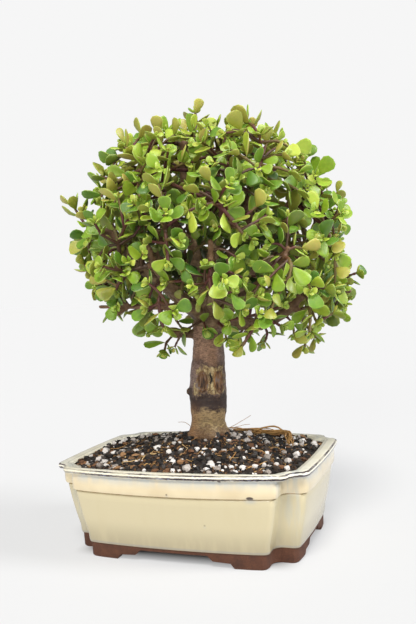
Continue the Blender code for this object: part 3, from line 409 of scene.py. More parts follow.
def level(half_length, half_depth, notch, height, bow):
    """One level of the pot's wall, anticlockwise from the middle of its front.

    A corner is round where notch is 0, and stepped in, as a cut corner is, where notch is 1.
    """
    front_end = half_length - CORNER_X
    front_y, side_y = half_depth - bow, half_depth - bow - CORNER_Y
    side_x = half_length - SIDE_BOW
    quarter = [Vector((front_end * s, -half_depth + bow * s * s)) for s in FRONT_STATIONS]
    stepped = arc((front_end - ROUND_OUT, ROUND_OUT - front_y), ROUND_OUT, -90, 0, CORNER_STEPS)
    stepped += arc((front_end + ROUND_IN, -side_y - ROUND_IN), ROUND_IN, 180, 90, CORNER_STEPS)
    stepped += arc((side_x - ROUND_OUT, ROUND_OUT - side_y), ROUND_OUT, -90, 0, CORNER_STEPS)
    turns = [math.radians(-90 + 90 * i / (len(stepped) - 1)) for i in range(len(stepped))]
    for turn, point in zip(turns, stepped):
        x = front_end + (side_x - front_end) * math.cos(turn)
        quarter.append(Vector((x, CORNER_Y * math.sin(turn) - side_y)).lerp(point, notch))
    quarter += [Vector((half_length - SIDE_BOW * s * s, -side_y * s)) for s in SIDE_STATIONS]
    right = quarter + [Vector((half_length, 0.0))] + [Vector((p.x, -p.y)) for p in reversed(quarter)]
    left = [Vector((-p.x, p.y)) for p in reversed(right[1:-1])]
    return [Vector((p.x, p.y, height)) for p in right + left]


def inset_level(inset, height, notch=1.0):
    """A level that lies a given distance inside the lip's outline, bowed less the further it lies in."""
    bow = FRONT_BOW - 0.36 * inset
    return level(POT_LENGTH / 2 - inset, POT_DEPTH / 2 - 0.78 * inset, notch, height, bow)


def loft(levels):
    """A closed solid through levels of equal point count, from its underside to its last level."""
    shape = bmesh.new()
    rings = [[shape.verts.new(point) for point in points] for points in levels]
    loops = []
    for ring in rings:
        loops.append([shape.edges.new((a, b)) for a, b in zip(ring, ring[1:] + ring[:1])])
    for low, high in zip(loops, loops[1:]):
        bmesh.ops.bridge_loops(shape, edges=low + high)
    for loop in (loops[0], loops[-1]):
        bmesh.ops.contextual_create(shape, geom=loop)
    bmesh.ops.recalc_face_normals(shape, faces=shape.faces)
    return shape


def inside_levels(wall_gap, floor_gap, notch):
    """The pot's hollow from its floor up to the mouth, or what fills it, clear of the wall and the floor."""
    return [
        inset_level(FOOT_IN + WALL_THICK + 4.0 + wall_gap, FLOOR_TOP + floor_gap),
        inset_level(FOOT_IN + WALL_THICK - 1.5 + wall_gap, FLOOR_TOP + 3.5 + floor_gap),
        inset_level(BAND_IN + WALL_THICK + 1.6 + wall_gap, BAND_TOP - 4.0, 0.95),
        inset_level(RIM_WIDTH + 0.4 + wall_gap, POT_HEIGHT - 2.0, notch),
    ]


def prism(outline, low, high, axis):
    """An outline pushed along an axis, from low to high; the outline lies in the plane of the other two."""
    shape = bmesh.new()
    turn = {"X": lambda p, d: Vector((d, p[0], p[1])), "Y": lambda p, d: Vector((p[0], d, p[1]))}[axis]
    face = shape.faces.new([shape.verts.new(turn(point, low)) for point in outline])
    pushed = bmesh.ops.extrude_face_region(shape, geom=[face])
    moved = [v for v in pushed["geom"] if isinstance(v, bmesh.types.BMVert)]
    bmesh.ops.translate(shape, vec=turn((0.0, 0.0), high - low), verts=moved)
    bmesh.ops.recalc_face_normals(shape, faces=shape.faces)
    return shape


def arch(steps):
    """The outline of a stepped arch, from its half widths and heights."""
    return [(-half, height) for half, height in steps] + [(half, height) for half, height in reversed(steps)]


def tree_place():
    """The tree's own frame in the pot's."""
    turn = Matrix.Rotation(math.radians(TREE_TURN), 4, "Z")
    lean = Matrix.Rotation(math.radians(TREE_LEAN), 4, "Y")
    return Matrix.Translation(TREE_FOOT) @ turn @ lean


def carried(points, turn=0.0):
    """Frames along a line that don't twist: the point, two directions across the line and the line's own."""
    ways = [(b - a).normalized() for a, b in zip(points, points[1:])]
    aims = [ways[0]] + [(a + b).normalized() for a, b in zip(ways, ways[1:])] + [ways[-1]]
    across = Quaternion(aims[0], turn) @ aims[0].orthogonal().normalized()
    frames = []
    for before, point, aim in zip([aims[0]] + aims, points, aims):
        across = before.rotation_difference(aim) @ across
        frames.append((point, across, aim.cross(across), aim))
    return frames


def ring(frame, radius, sides):
    """The corners of a section across a line, anticlockwise as seen from ahead."""
    point, x, y, _ = frame
    turns = [2 * math.pi * i / sides for i in range(sides)]
    return [point + radius * (math.cos(turn) * x + math.sin(turn) * y) for turn in turns]


def tapered(root, tip, count):
    """Radii that taper evenly from a root to a tip."""
    return [root + (tip - root) * i / (count - 1) for i in range(count)]


def tube(points, root_radius, tip_radius, sides):
    """The sections of a tapered tube through its points."""
    points = [Vector(point) for point in points]
    radii = tapered(root_radius, tip_radius, len(points))
    return [ring(frame, radius, sides) for frame, radius in zip(carried(points), radii)]


def smooth_path(points, steps):
    """Points on a smooth curve through the given ones, with a number of steps between each two."""
    points = [Vector(p) for p in points]
    ends = [2 * points[0] - points[1]] + points + [2 * points[-1] - points[-2]]
    path = []
    for before, start, end, after in zip(ends, ends[1:], ends[2:], ends[3:]):
        for i in range(steps):
            t = i / steps
            straight = start * (2 - 5 * t * t + 3 * t**3) + end * (t + 4 * t * t - 3 * t**3)
            path.append((straight + before * (2 * t * t - t - t**3) + after * (t**3 - t * t)) / 2)
    return path + [points[-1]]


def trunk_bulge(angle, height):
    """Surface roots that swell the trunk's foot, and the two calloused ovals of an old scar on its front."""
    roots = 0.10 * math.cos(5 * angle + 0.6) * max(0.0, 1 - abs(height - 1.0) / 9.0)
    bulge = roots + 0.015 * math.sin(3 * angle + height * 0.11)
    for side in (-1, 1):
        across = (math.degrees(angle) + 90.0 - side * 24.0 + 180.0) % 360.0 - 180.0
        far = math.hypot(across / 22.0, (height - 43.0) / 10.5)
        bulge += 0.07 * math.exp(-(((far - 0.95) / 0.28) ** 2)) - 0.05 * math.exp(-((far / 0.6) ** 2))
    return bulge


def soil_top(x, y):
    """Height of the soil: a mound round the trunk on a nearly level bed."""
    far = math.hypot(x - TREE_FOOT.x, (y - TREE_FOOT.y) * 1.15)
    return SOIL_EDGE + SOIL_MOUND * math.exp(-((far / MOUND_REACH) ** 2))


def crown_point(way, share):
    """A point in the crown, at a share of the dome's reach that way."""
    upright = REACH_UP if way.z > 0 else REACH_DOWN
    stretch = Vector((way.x / REACH_SIDE, way.y / REACH_DEPTH, way.z / upright))
    bulge = 1 + LOW_RIGHT * max(0.0, way.x) * max(0.0, -way.z)
    return CROWN_MIDDLE + way * (share * bulge / stretch.length)


def crown_sites():
    """Where a spray could end, the top first: spread over the dome, and over a smaller one inside it."""
    golden = math.pi * (3 - math.sqrt(5))
    sites = []
    for count, share in ((OUTER_SITES, 1.0), (INNER_SITES, INNER_SHARE)):
        for i in range(count):
            rise = 1 - (i + 0.5) / count * (1 + LOWEST_SINE)
            flat = math.sqrt(1 - rise * rise)
            way = Vector((flat * math.cos(i * golden), flat * math.sin(i * golden), rise))
            sites.append(crown_point(way, share))
    random.Random(SPRAY_SEED).shuffle(sites)
    return sorted(sites, key=lambda site: site.z < TOP_FIRST)


def crown_share(point):
    """How far out a point lies in the crown, as a share of the dome's reach that way."""
    off = point - CROWN_MIDDLE
    upright = REACH_UP if off.z > 0 else REACH_DOWN
    return Vector((off.x / REACH_SIDE, off.y / REACH_DEPTH, off.z / upright)).length


def limbs():
    """Every limb with its last stretch: the radius at the root and at the end, and its points."""
    made = []
    for number, (root_radius, end_radius, route) in enumerate(LIMBS.values()):
        end = Vector(route[-1])
        on = (end - Vector(route[-2])).normalized()
        out = (end - CROWN_MIDDLE).normalized()
        side = on.cross(out).normalized() * (-1) ** number
        way = (LAST_OUT * out + LAST_ON * on + LAST_SIDE * side).normalized()
        reach = LAST_LENGTH
        while crown_share(end + way * reach) > LAST_EDGE and reach >= LAST_LEAST:
            reach -= LAST_STEP
        last = [end + way * reach] if reach >= LAST_LEAST else []
        made.append((root_radius, end_radius * LAST_TAPER, list(route) + last))
    return made


def limb_points():
    """Places along the limbs where a spray can start: the point, the limb's run there and its radius."""
    places = []
    for root_radius, end_radius, route in limbs():
        path = smooth_path(route, LIMB_STEPS)
        for i in range(len(path) // 3, len(path) - 1):
            run = (path[i + 1] - path[i - 1]).normalized()
            share = i / (len(path) - 1)
            places.append((path[i], run, root_radius + (end_radius - root_radius) * share))
    return places


def bent(start, way, end, shares):
    """Points at shares of a line that leaves along its way and bends over to its end."""
    knee = start + way * (end - start).length * 0.5
    return [start.lerp(knee, t).lerp(knee.lerp(end, t), t) for t in shares]


def paired_line(
    start, way, end, pairs, turn, root_radius, tip_radius, straight=0.0, spacing=PAIR_SPACING
):
    """A shoot's frames and radii, with two close stations at each pair of leaves, and each pair's segment."""
    points = [start] if straight else []
    start = start + way * straight
    length = (end - start).length
    shares, segments = [0.0], []
    for number in range(pairs):
        middle = 1.0 - (PAIR_HALF + (pairs - 1 - number) * spacing) / length
        segments.append(len(points) + len(shares))
        shares += [middle - PAIR_HALF / length, middle + PAIR_HALF / length]
    frames = carried(points + bent(start, way, end, shares), turn)
    return frames, tapered(root_radius, tip_radius, len(frames)), segments


def sides_of(shoot_frames, radii, segment, crosswise):
    """The middles of two opposite faces of a square shoot's segment, and the ways that they face."""
    before, after = shoot_frames[segment], shoot_frames[segment + 1]
    middle = (before[0] + after[0]) / 2
    turn = math.radians(135 if crosswise else 45)
    way = math.cos(turn) * before[1] + math.sin(turn) * before[2]
    reach = radii[segment] * math.cos(math.pi / 4)
    return [(middle + way * reach, way), (middle - way * reach, -way)]


def grow_leaf(root, way, run, dice, length):
    """A leaf that leaves its shoot sideways and rises a little towards the shoot's tip."""
    rise = math.radians(LEAF_RISE + dice.uniform(-1, 1) * LEAF_RISE_SPREAD)
    droop = Vector((dice.uniform(-0.2, 0.2), dice.uniform(-0.2, 0.2), dice.uniform(-0.05, 0.15)))
    aim = (way * math.cos(rise) + run * math.sin(rise) + droop).normalized()
    flat = Quaternion(aim, dice.uniform(-1, 1) * LEAF_TWIST) @ run.cross(way)
    flat = (flat - flat.dot(aim) * aim).normalized()
    return Leaf(root, aim, flat, length + dice.uniform(-0.5, 0.5) * LEAF_LENGTH_SPREAD)


def leaf_rings(leaf, sections, extra=0.0):
    """The corners of a leaf's sections, each given as shares of its length, width, thickness and lift."""
    up = leaf.aim.cross(leaf.flat)
    rings = []
    for along, wide, deep, lift in sections:
        middle = leaf.root + leaf.aim * along * leaf.size + up * lift * leaf.size
        side = leaf.flat * (wide * leaf.size * LEAF_WIDTH_SHARE / 2 + extra)
        rise = up * (deep * LEAF_THICK / 2 + extra)
        rings.append([middle + side - rise, middle + side + rise, middle - side + rise, middle - side - rise])
    return rings


def grow_side_shoot(root, way, run, dice):
    """A side shoot with its pairs of leaves, which takes the place of a leaf."""
    aim = (SHOOT_OUT * way + SHOOT_ON * run + Vector((0, 0, SHOOT_UP))).normalized()
    end = root + aim * dice.uniform(SHOOT_LEAST, SHOOT_MOST) + Vector((0, 0, SHOOT_LIFT))
    turn = dice.uniform(0, math.pi)
    frames, radii, segments = paired_line(
        root, (way + 0.3 * run).normalized(), end, SHOOT_PAIRS, turn, SHOOT_RADIUS, SHOOT_TIP_RADIUS
    )
    growths = []
    for number, segment in enumerate(segments):
        for spot, side in sides_of(frames, radii, segment, number % 2):
            length = LEAF_LENGTH - 1.0 - 1.5 * number
            growths.append((segment, side, grow_leaf(spot, side, frames[segment][3], dice, length)))
    return Shoot(frames, radii, growths)


def grow_spray(seed, site, place):
    """One spray from a place on a limb to its site: its foot and its twig, before anything is left out."""
    dice = random.Random(seed)
    point, run, radius = place
    out = (site - point).normalized()
    stray = Vector([dice.uniform(-1, 1) for _ in range(3)])
    way = (out + TWIG_ALONG * run + Vector((0, 0, TWIG_UP)) + TWIG_STRAY * stray).normalized()
    foot = point + way * (radius + STUB_PROUD)
    turn = dice.uniform(0, math.pi)
    start = foot + way * SPRAY_GAP
    room = (site - start).length - TWIG_STRAIGHT
    pairs = max(1, min(PAIRS, int(room / PAIR_SPACING)))
    frames, radii, segments = paired_line(
        start, way, site, pairs, turn, TWIG_RADIUS, TWIG_TIP_RADIUS, TWIG_STRAIGHT
    )
    growths = []
    for number, segment in enumerate(segments):
        line = frames[segment][3]
        for spot, side in sides_of(frames, radii, segment, number % 2):
            if number == 0 and pairs > 2:
                growth = grow_side_shoot(spot, side, line, dice)
            else:
                growth = grow_leaf(spot, side, line, dice, LEAF_LENGTH - 0.8 * (number - 1))
            growths.append((segment, side, growth))
    return foot, Shoot(frames, radii, growths)


def skin(sections):
    """The points and faces of a solid through sections of equal count."""
    count = len(sections[0])
    points = [corner for section in sections for corner in section]
    faces = [list(range(count)), list(range(len(points) - count, len(points)))]
    for first in range(0, len(points) - count, count):
        for i in range(count):
            j = (i + 1) % count
            faces.append([first + i, first + j, first + count + j, first + count + i])
    return points, faces


class Space:
    """What already stands in the crown, so that no later shoot or leaf grows into it."""

    def __init__(self):
        self.points, self.faces, self.tree = [], [], None

    def add(self, sections):
        points, faces = skin(sections)
        first = len(self.points)
        self.points += points
        self.faces += [[first + i for i in face] for face in faces]

    def settle(self):
        self.tree = BVHTree.FromPolygons(self.points, self.faces)

    def holds(self, sections):
        return self.tree is not None and bool(self.tree.overlap(BVHTree.FromPolygons(*skin(sections))))


def shoot_sections(shoot, extra=0.0, skip=0.0):
    """The sections of a shoot, made thicker, from a distance past its root."""
    frames = list(shoot.frames)
    if skip:
        point, across, up, line = frames[0]
        share = min(0.5, skip / (frames[1][0] - point).length)
        frames[0] = (point.lerp(frames[1][0], share), across, up, line)
    return [ring(frame, radius + extra, SQUARE) for frame, radius in zip(frames, shoot.radii)]


def with_room(shoot, taken, own):
    """The shoot without the leaves and side shoots that have no room."""
    kept = []
    for segment, side, growth in shoot.growths:
        if isinstance(growth, Leaf):
            sections = leaf_rings(growth, (LEAF_TEST_START,) + LEAF_SECTIONS, CLEARANCE)
        else:
            sections = shoot_sections(growth, CLEARANCE, CLEAR_OF_ROOT)
        if taken.holds(sections) or own.holds(sections):
            continue
        own.add(sections)
        own.settle()
        if isinstance(growth, Shoot):
            growth = with_room(growth, taken, own)
        kept.append((segment, side, growth))
    return Shoot(shoot.frames, shoot.radii, kept)


def all_sections(shoot):
    """The sections of a shoot and of everything that grows from it."""
    found = [shoot_sections(shoot)]
    for _, _, growth in shoot.growths:
        if isinstance(growth, Leaf):
            found.append(leaf_rings(growth, (LEAF_TEST_START,) + LEAF_SECTIONS))
        else:
            found += all_sections(growth)
    return found


def collar_sections(place, foot):
    """The collar on a limb that a spray grows from, up to its flat end."""
    point, _, radius = place
    start = point + (foot - point).normalized() * radius * COLLAR_START
    return tube([start, foot], TWIG_RADIUS * COLLAR_ROOT, TWIG_RADIUS * COLLAR_END, COLLAR_SIDES)


def collar_room(place, foot):
    """The room that a collar needs past the limb's own bark."""
    point, _, radius = place
    start = point + (foot - point).normalized() * (radius + TEST_COLLAR_LIFT)
    girth = TWIG_RADIUS * TEST_COLLAR_GIRTH
    return tube([start, foot], girth, girth, TEST_COLLAR_SIDES)


def wood_sections():
    """The sections of the limbs and of the pruned stubs."""
    wood = [tube(smooth_path(route, 1), root, end, LIMB_SIDES) for root, end, route in limbs()]
    for radius, root, end in STUBS.values():
        wood.append(tube([root, end], radius * STUB_TAPER, radius, LIMB_SIDES))
    return wood


def route_effort(point, site, starts):
    """How poor a place is for a spray to that site: too near or far, turned inwards, or crowded by others."""
    gap = site - point
    crowding = sum(CROWDED_EFFORT for start in starts if (start - point).length < START_APART)
    outward = gap.normalized().dot((site - CROWN_MIDDLE).normalized())
    short = SHORT_EFFORT if gap.length < SPRAY_LEAST else 0.0
    inward = INWARD_EFFORT * max(0.0, LEAST_OUTWARD - outward)
    return abs(gap.length - SPRAY_REACH) + inward + crowding + short


def grow_crown():
    """Grows every spray where it has room: its place on a limb, its foot and its twig."""
    taken = Space()
    trunk_line = [Vector((0, 0, z)) for z, _ in TRUNK]
    for sections in wood_sections() + [tube(trunk_line, TRUNK[0][1], TRUNK[-1][1], TRUNK_SIDES)]:
        taken.add(sections)
    taken.settle()
    places, starts, sprays = limb_points(), [], []
    for number, site in enumerate(crown_sites()):
        nearest = sorted(places, key=lambda place: route_effort(place[0], site, starts))
        for attempt, place in enumerate(nearest[:ROUTE_TRIES]):
            foot, twig = grow_spray(SPRAY_SEED + number * ROUTE_TRIES + attempt, site, place)
            room = collar_room(place, foot)
            if not taken.holds(shoot_sections(twig, CLEARANCE)) and not taken.holds(room):
                break
        else:
            continue
        twig = with_room(twig, taken, Space())
        for sections in all_sections(twig) + [collar_sections(place, foot)]:
            taken.add(sections)
        taken.settle()
        starts.append(place[0])
        sprays.append((place, foot, twig))
        if len(sprays) == MOST_SPRAYS:
            break
    return clear_of_collars(sprays)


def clear_of_collars(sprays):
    """The sprays without the leaves and side shoots that a later spray's collar has grown into."""
    cleared = []
    for place, foot, twig in sprays:
        collars = Space()
        for other_place, other_foot, _ in sprays:
            if other_foot is not foot:
                collars.add(collar_sections(other_place, other_foot))
        collars.settle()
        cleared.append((place, foot, with_room(twig, collars, Space())))
    return cleared


def smoothstep(value, low, high):
    """0 below low, 1 above high and a smooth rise between them."""
    share = min(1.0, max(0.0, (value - low) / (high - low)))
    return share * share * (3 - 2 * share)


class Value:
    """A number or colour in a material, with the sums that nodes can do on it."""

    def __init__(self, paint, socket):
        self.paint, self.socket = paint, socket

    def sum(self, operation, first, second):
        terms = {"Value": first, "Value_001": second}
        return self.paint.node("ShaderNodeMath", {"operation": operation}, terms)

    def __add__(self, other):
        return self.sum("ADD", self, other)

    def __radd__(self, other):
        return self.sum("ADD", other, self)

    def __sub__(self, other):
        return self.sum("SUBTRACT", self, other)

    def __rsub__(self, other):
        return self.sum("SUBTRACT", other, self)

    def __mul__(self, other):
        return self.sum("MULTIPLY", self, other)

    def __rmul__(self, other):
        return self.sum("MULTIPLY", other, self)

    def __truediv__(self, other):
        return self.sum("DIVIDE", self, other)

    def __abs__(self):
        return self.sum("ABSOLUTE", self, 0.0)

    def rises(self, low, high):
        """0 below low, 1 above high and a smooth rise between them."""
        ranges = {"Value": self, "From Min": low, "From Max": high}
        return self.paint.node("ShaderNodeMapRange", {"interpolation_type": "SMOOTHSTEP"}, ranges)

    def near(self, middle, width):
        """1 at the middle, falling to 0 at a width from it."""
        return 1 - abs(self - middle).rises(0.0, width)


class Paint:
    """One material and its nodes."""

    def __init__(self, name, roughness, **fixed):
        self.material = bpy.data.materials.new(name)
        self.material.use_nodes = True
        self.tree = self.material.node_tree
        self.shader = self.tree.nodes["Principled BSDF"]
        self.own("roughness").default_value = roughness
        for name, value in fixed.items():
            self.own(name).default_value = value

    def own(self, name):
        """The shader's own socket of this name, written with underscores."""
        return next(s for s in self.shader.inputs if s.name.lower() == name.replace("_", " "))

    def node(self, kind, settings, sockets, output=None):
        """Makes a node: its settings first, then the value or the link of each socket."""
        made = self.tree.nodes.new(kind)
        for key, value in settings.items():
            if key == "stops":
                self.set_stops(made.color_ramp, value)
            else:
                setattr(made, key, value)
        for key, value in sockets.items():
            socket = next(s for s in made.inputs if key in (s.identifier, s.name))
            self.fill(socket, value)
        outlet = next(s for s in made.outputs if s.enabled) if output is None else made.outputs[output]
        return Value(self, outlet)

    def set_stops(self, ramp, stops):
        while len(ramp.elements) < len(stops):
            ramp.elements.new(0.5)
        for element, (place, colour) in zip(ramp.elements, stops):
            element.position = place
            element.color = (*colour, 1.0)

    def fill(self, socket, value):
        if isinstance(value, Value):
            self.tree.links.new(value.socket, socket)
        elif isinstance(value, tuple) and len(value) == 3 and socket.type == "RGBA":
            socket.default_value = (*value, 1.0)
        else:
            socket.default_value = value

    def shade(self, **links):
        """Links values to the shader's own sockets."""
        for name, value in links.items():
            self.fill(self.own(name), value)
        return self.material

    def attribute(self, name):
        return self.node("ShaderNodeAttribute", {"attribute_name": name}, {}, "Fac")

    def place(self, stretch=(1.0, 1.0, 1.0)):
        """The point on the piece, in metres, stretched along its axes."""
        point = self.node("ShaderNodeTexCoord", {}, {}, "Object")
        return self.node("ShaderNodeMapping", {}, {"Vector": point, "Scale": stretch})

    def axis(self, name):
        return self.node("ShaderNodeSeparateXYZ", {}, {"Vector": self.place()}, name)

    def grain(self, size, detail=3.0, stretch=(1.0, 1.0, 1.0), rough=0.55):
        """Noise with features of a size in millimetres."""
        sockets = {"Vector": self.place(stretch), "Scale": 1 / (size * MM)}
        sockets.update({"Detail": detail, "Roughness": rough})
        return self.node("ShaderNodeTexNoise", {}, sockets, "Fac")

    def mix(self, share, first, second):
        sockets = {"Factor_Float": share, "A_Color": first, "B_Color": second}
        return self.node("ShaderNodeMix", {"data_type": "RGBA"}, sockets, "Result")

    def ramp(self, share, stops):
        return self.node("ShaderNodeValToRGB", {"stops": stops}, {"Fac": share}, "Color")

    def bump(self, height, strength, distance):
        sockets = {"Height": height, "Strength": strength, "Distance": distance * MM}
        return self.node("ShaderNodeBump", {}, sockets, "Normal")


def as_mesh(shape, name):
    """A mesh made from a shape, which is used up."""
    mesh = bpy.data.meshes.new(name)
    shape.to_mesh(mesh)
    shape.free()
    return mesh


def as_object(name, data):
    """An object in the scene that shows a mesh, a lamp or a camera."""
    thing = bpy.data.objects.new(name, data)
    bpy.context.scene.collection.objects.link(thing)
    return thing


def cut(shape, others, operation="DIFFERENCE"):
    """The shape after the others are taken from it, or kept with it."""
    things = [as_object("cut", as_mesh(made, "cut")) for made in [shape] + others]
    for other in things[1:]:
        modifier = things[0].modifiers.new("cut", "BOOLEAN")
        modifier.operation, modifier.object = operation, other
    return taken_from(things)


def remeshed(shape, size):
    """The shape with every tube in it joined into one even skin."""
    thing = as_object("joined", as_mesh(shape, "joined"))
    modifier = thing.modifiers.new("skin", "REMESH")
    modifier.mode, modifier.voxel_size = "VOXEL", size
    return taken_from([thing])


def taken_from(things):
    """The mesh of the first of these objects after its modifiers; the objects are removed."""
    shape = bmesh.new()
    shape.from_object(things[0], bpy.context.evaluated_depsgraph_get())
    for thing in things:
        bpy.data.meshes.remove(thing.data)
    return shape


def finished(name, shape, place, materials, smooth):
    """A piece made from a shape, put in its place in the model's frame."""
    bmesh.ops.transform(shape, matrix=place, verts=shape.verts)
    mesh = as_mesh(shape, name)
    for material in materials:
        mesh.materials.append(material)
    mesh.shade_smooth()
    mesh.set_sharp_from_angle(angle=math.radians(smooth))
    piece = as_object(name, mesh)
    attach(piece, "root")
    return piece


def marked(shape, names):
    """Float layers on a shape's points, for its material to read."""
    return [shape.verts.layers.float.get(name) or shape.verts.layers.float.new(name) for name in names]


def stamp(shape, template):
    """Adds a copy of a template's mesh to a shape, and returns the copy's points."""
    count = len(shape.verts)
    shape.from_mesh(template)
    shape.verts.ensure_lookup_table()
    return shape.verts[count:]


def add_shape(shape, part):
    """Adds one shape, which is used up, to another, and returns the points that it brings."""
    mesh = as_mesh(part, "part")
    points = stamp(shape, mesh)
    bpy.data.meshes.remove(mesh)
    return points


def pot_profile():
    """The pot from its foot up over the lip to its throat: each level's inset, height and notch."""
    outer = [(FOOT_IN + 1.6, 0.0), (FOOT_IN + 0.6, 0.9), (FOOT_IN + 0.3, FOOT_HEIGHT - 0.7)]
    outer += [(FOOT_IN - 0.6, FOOT_HEIGHT - 0.1), (FOOT_IN - 1.0, FOOT_HEIGHT + 1.0)]
    for i in range(1, BELLY_STEPS + 1):
        share = i / BELLY_STEPS
        inset = FOOT_IN + (BELLY_IN - FOOT_IN) * share - BELLY_BULGE * math.sin(math.pi * share)
        outer.append((inset, FOOT_HEIGHT + 1.0 + (BAND_FOOT - 1.9 - FOOT_HEIGHT) * share))
    outer += [
        (BELLY_IN + 0.2, BAND_FOOT - 0.4), (BELLY_IN + 0.9, BAND_FOOT), (BELLY_IN + 0.1, BAND_FOOT + 0.4),
    ]
    outer += [(BAND_IN + 0.9, BAND_FOOT + 0.9), (BAND_IN + 0.3, BAND_FOOT + 1.9), (BAND_IN, BAND_TOP - 3.5)]
    outer += [(BAND_IN + 0.5, BAND_TOP - 1.0)]
    profile = [(inset, height, 1.0) for inset, height in outer]
    profile += [(BAND_IN + 0.4, BAND_TOP, 0.92), (1.5, BAND_TOP + 0.5, 0.62), (0.7, BAND_TOP + 0.9, 0.47)]
    lip = [(0.15, 65.0), (0.0, 66.1), (0.15, 67.0), (0.6, 67.6), (1.5, 67.93), (3.2, 68.0)]
    profile += [(inset, height, LIP_NOTCH) for inset, height in lip]
    profile += [
        (RIM_WIDTH - 3.0, 67.9, 0.3), (RIM_WIDTH - 1.0, 67.6, MOUTH_NOTCH), (RIM_WIDTH - 0.2, 67.0, 0.32),
    ]
    return profile


def run_at(profile, height, back=False):
    """How far along its profile the pot first reaches a height, or last does."""
    runs, run, before = [], 0.0, profile[0]
    for level_at in profile:
        run += math.hypot(level_at[0] - before[0], level_at[1] - before[1])
        before = level_at
        if level_at[1] >= height:
            runs.append(run)
    return runs[-1] if back else runs[0]


def pot_shape():
    """The pot, cut out under its floor and between its feet, and marked along its profile for the glaze."""
    profile = pot_profile()
    levels = [inset_level(inset, height, notch) for inset, height, notch in profile]
    levels += inside_levels(0.0, 0.0, THROAT_NOTCH)[::-1]
    marks = KDTree(sum(len(points) for points in levels))
    run, before, runs = 0.0, profile[0], []
    for number, points in enumerate(levels):
        if number < len(profile):
            run += math.hypot(profile[number][0] - before[0], profile[number][1] - before[1])
            before = profile[number]
        for point in points:
            marks.insert(point, len(runs))
            runs.append(run if number < len(profile) else run + THROAT_RUN)
    marks.balance()
    cutters = [loft([inset_level(FOOT_IN + RECESS_INSET, z) for z in (-CUT_PAST, RECESS_TOP)])]
    reach_y, reach_x = POT_DEPTH / 2, POT_LENGTH / 2
    for side in (-1, 1):
        for axis, steps, reach in (("Y", FRONT_ARCH, reach_y), ("X", SIDE_ARCH, reach_x)):
            low, high = sorted((side * (reach - ARCH_DEEP), side * reach))
            cutters.append(prism(arch(steps), low, high, axis))
        hole = bmesh.new()
        place = Matrix.Translation((side * DRAIN_X, 0.0, FLOOR_TOP - 2.0))
        bmesh.ops.create_cone(
            hole, cap_ends=True, segments=DRAIN_SEGMENTS, radius1=DRAIN_RADIUS, radius2=DRAIN_RADIUS,
            depth=DRAIN_LENGTH, matrix=place,
        )
        cutters.append(hole)
    shape = cut(loft(levels), cutters)
    bmesh.ops.recalc_face_normals(shape, faces=shape.faces)
    arch_edges = [e for e in shape.edges if is_arch_edge(e)]
    bmesh.ops.bevel(
        shape, geom=arch_edges, offset=0.5, segments=2, affect="EDGES", profile=0.5, material=-1,
        clamp_overlap=True,
    )
    (profile_run,) = marked(shape, ["profile"])
    for vert in shape.verts:
        vert[profile_run] = runs[marks.find(vert.co)[1]]
    for face in shape.faces:
        low = face.calc_center_median().z < FOOT_HEIGHT - 0.3
        inside = min(vert[profile_run] for vert in face.verts) > run + THROAT_RUN / 2
        face.material_index = int(low or inside)
    return shape


def is_arch_edge(edge):
    """Whether an edge is an outer edge of an arch between the feet."""
    if len(edge.link_faces) != 2 or edge.calc_face_angle() < math.radians(40):
        return False
    low = all(0.2 < v.co.z < FOOT_HEIGHT - 1.5 for v in edge.verts)
    outer = all(abs(v.co.x) > POT_LENGTH / 2 - 24.0 or abs(v.co.y) > POT_DEPTH / 2 - 24.0 for v in edge.verts)
    return low and outer


def trunk_rings():
    """The trunk's rings, closely spaced, with the solid's own swellings."""
    rings = []
    for point in smooth_path([(radius, 0.0, z) for z, radius in TRUNK], TRUNK_STEPS):
        turns = [2 * math.pi * i / TRUNK_FINE_SIDES for i in range(TRUNK_FINE_SIDES)]
        reaches = [point.x * (1 + trunk_bulge(turn, point.z)) for turn in turns]
        rings.append([Vector((r * math.cos(t), r * math.sin(t), point.z)) for r, t in zip(reaches, turns)])
    return rings


def wood_lines(sprays):
    """Every tube of the wood after the trunk: its path, root radius and end radius."""
    lines = [(smooth_path(route, LIMB_STEPS), root, end) for root, end, route in limbs()]
    for radius, root, end in STUBS.values():
        path = smooth_path([root, Vector(root).lerp(end, 0.5), end], STUB_STEPS)
        lines.append((path, radius * STUB_TAPER, radius))
    for (point, _, radius), foot, _ in sprays:
        start = point + (foot - point).normalized() * radius * COLLAR_START
        lines.append(([start, start.lerp(foot, 0.6), foot], TWIG_RADIUS * COLLAR_ROOT, TWIG_RADIUS * 1.15))
    return lines


def trunk_sample(high):
    """A place on the trunk's middle line."""
    return Sample(Vector((0, 0, high)), TRUNK_MEAN, float(high), -1)


def wood_samples(lines):
    """Close places along the trunk and every tube, to find the nearest wood of a point by."""
    samples = [trunk_sample(z) for z in range(-30, 100, 2)]
    for number, (path, root_radius, tip_radius) in enumerate(lines):
        run, before = 0.0, path[0]
        for i, point in enumerate(path):
            run += (point - before).length
            before = point
            radius = root_radius + (tip_radius - root_radius) * i / (len(path) - 1)
            samples.append(Sample(point, radius, run, number))
    return samples


def indexed(points):
    """A tree that finds the nearest of these points."""
    tree = KDTree(len(points))
    for number, point in enumerate(points):
        tree.insert(point, number)
    tree.balance()
    return tree


def trunk_radius(high):
    """The trunk's radius at a height, between those that are given."""
    for (low_z, low_radius), (top_z, top_radius) in zip(TRUNK, TRUNK[1:]):
        if high <= top_z:
            return low_radius + (top_radius - low_radius) * max(0.0, high - low_z) / (top_z - low_z)
    return TRUNK[-1][1]


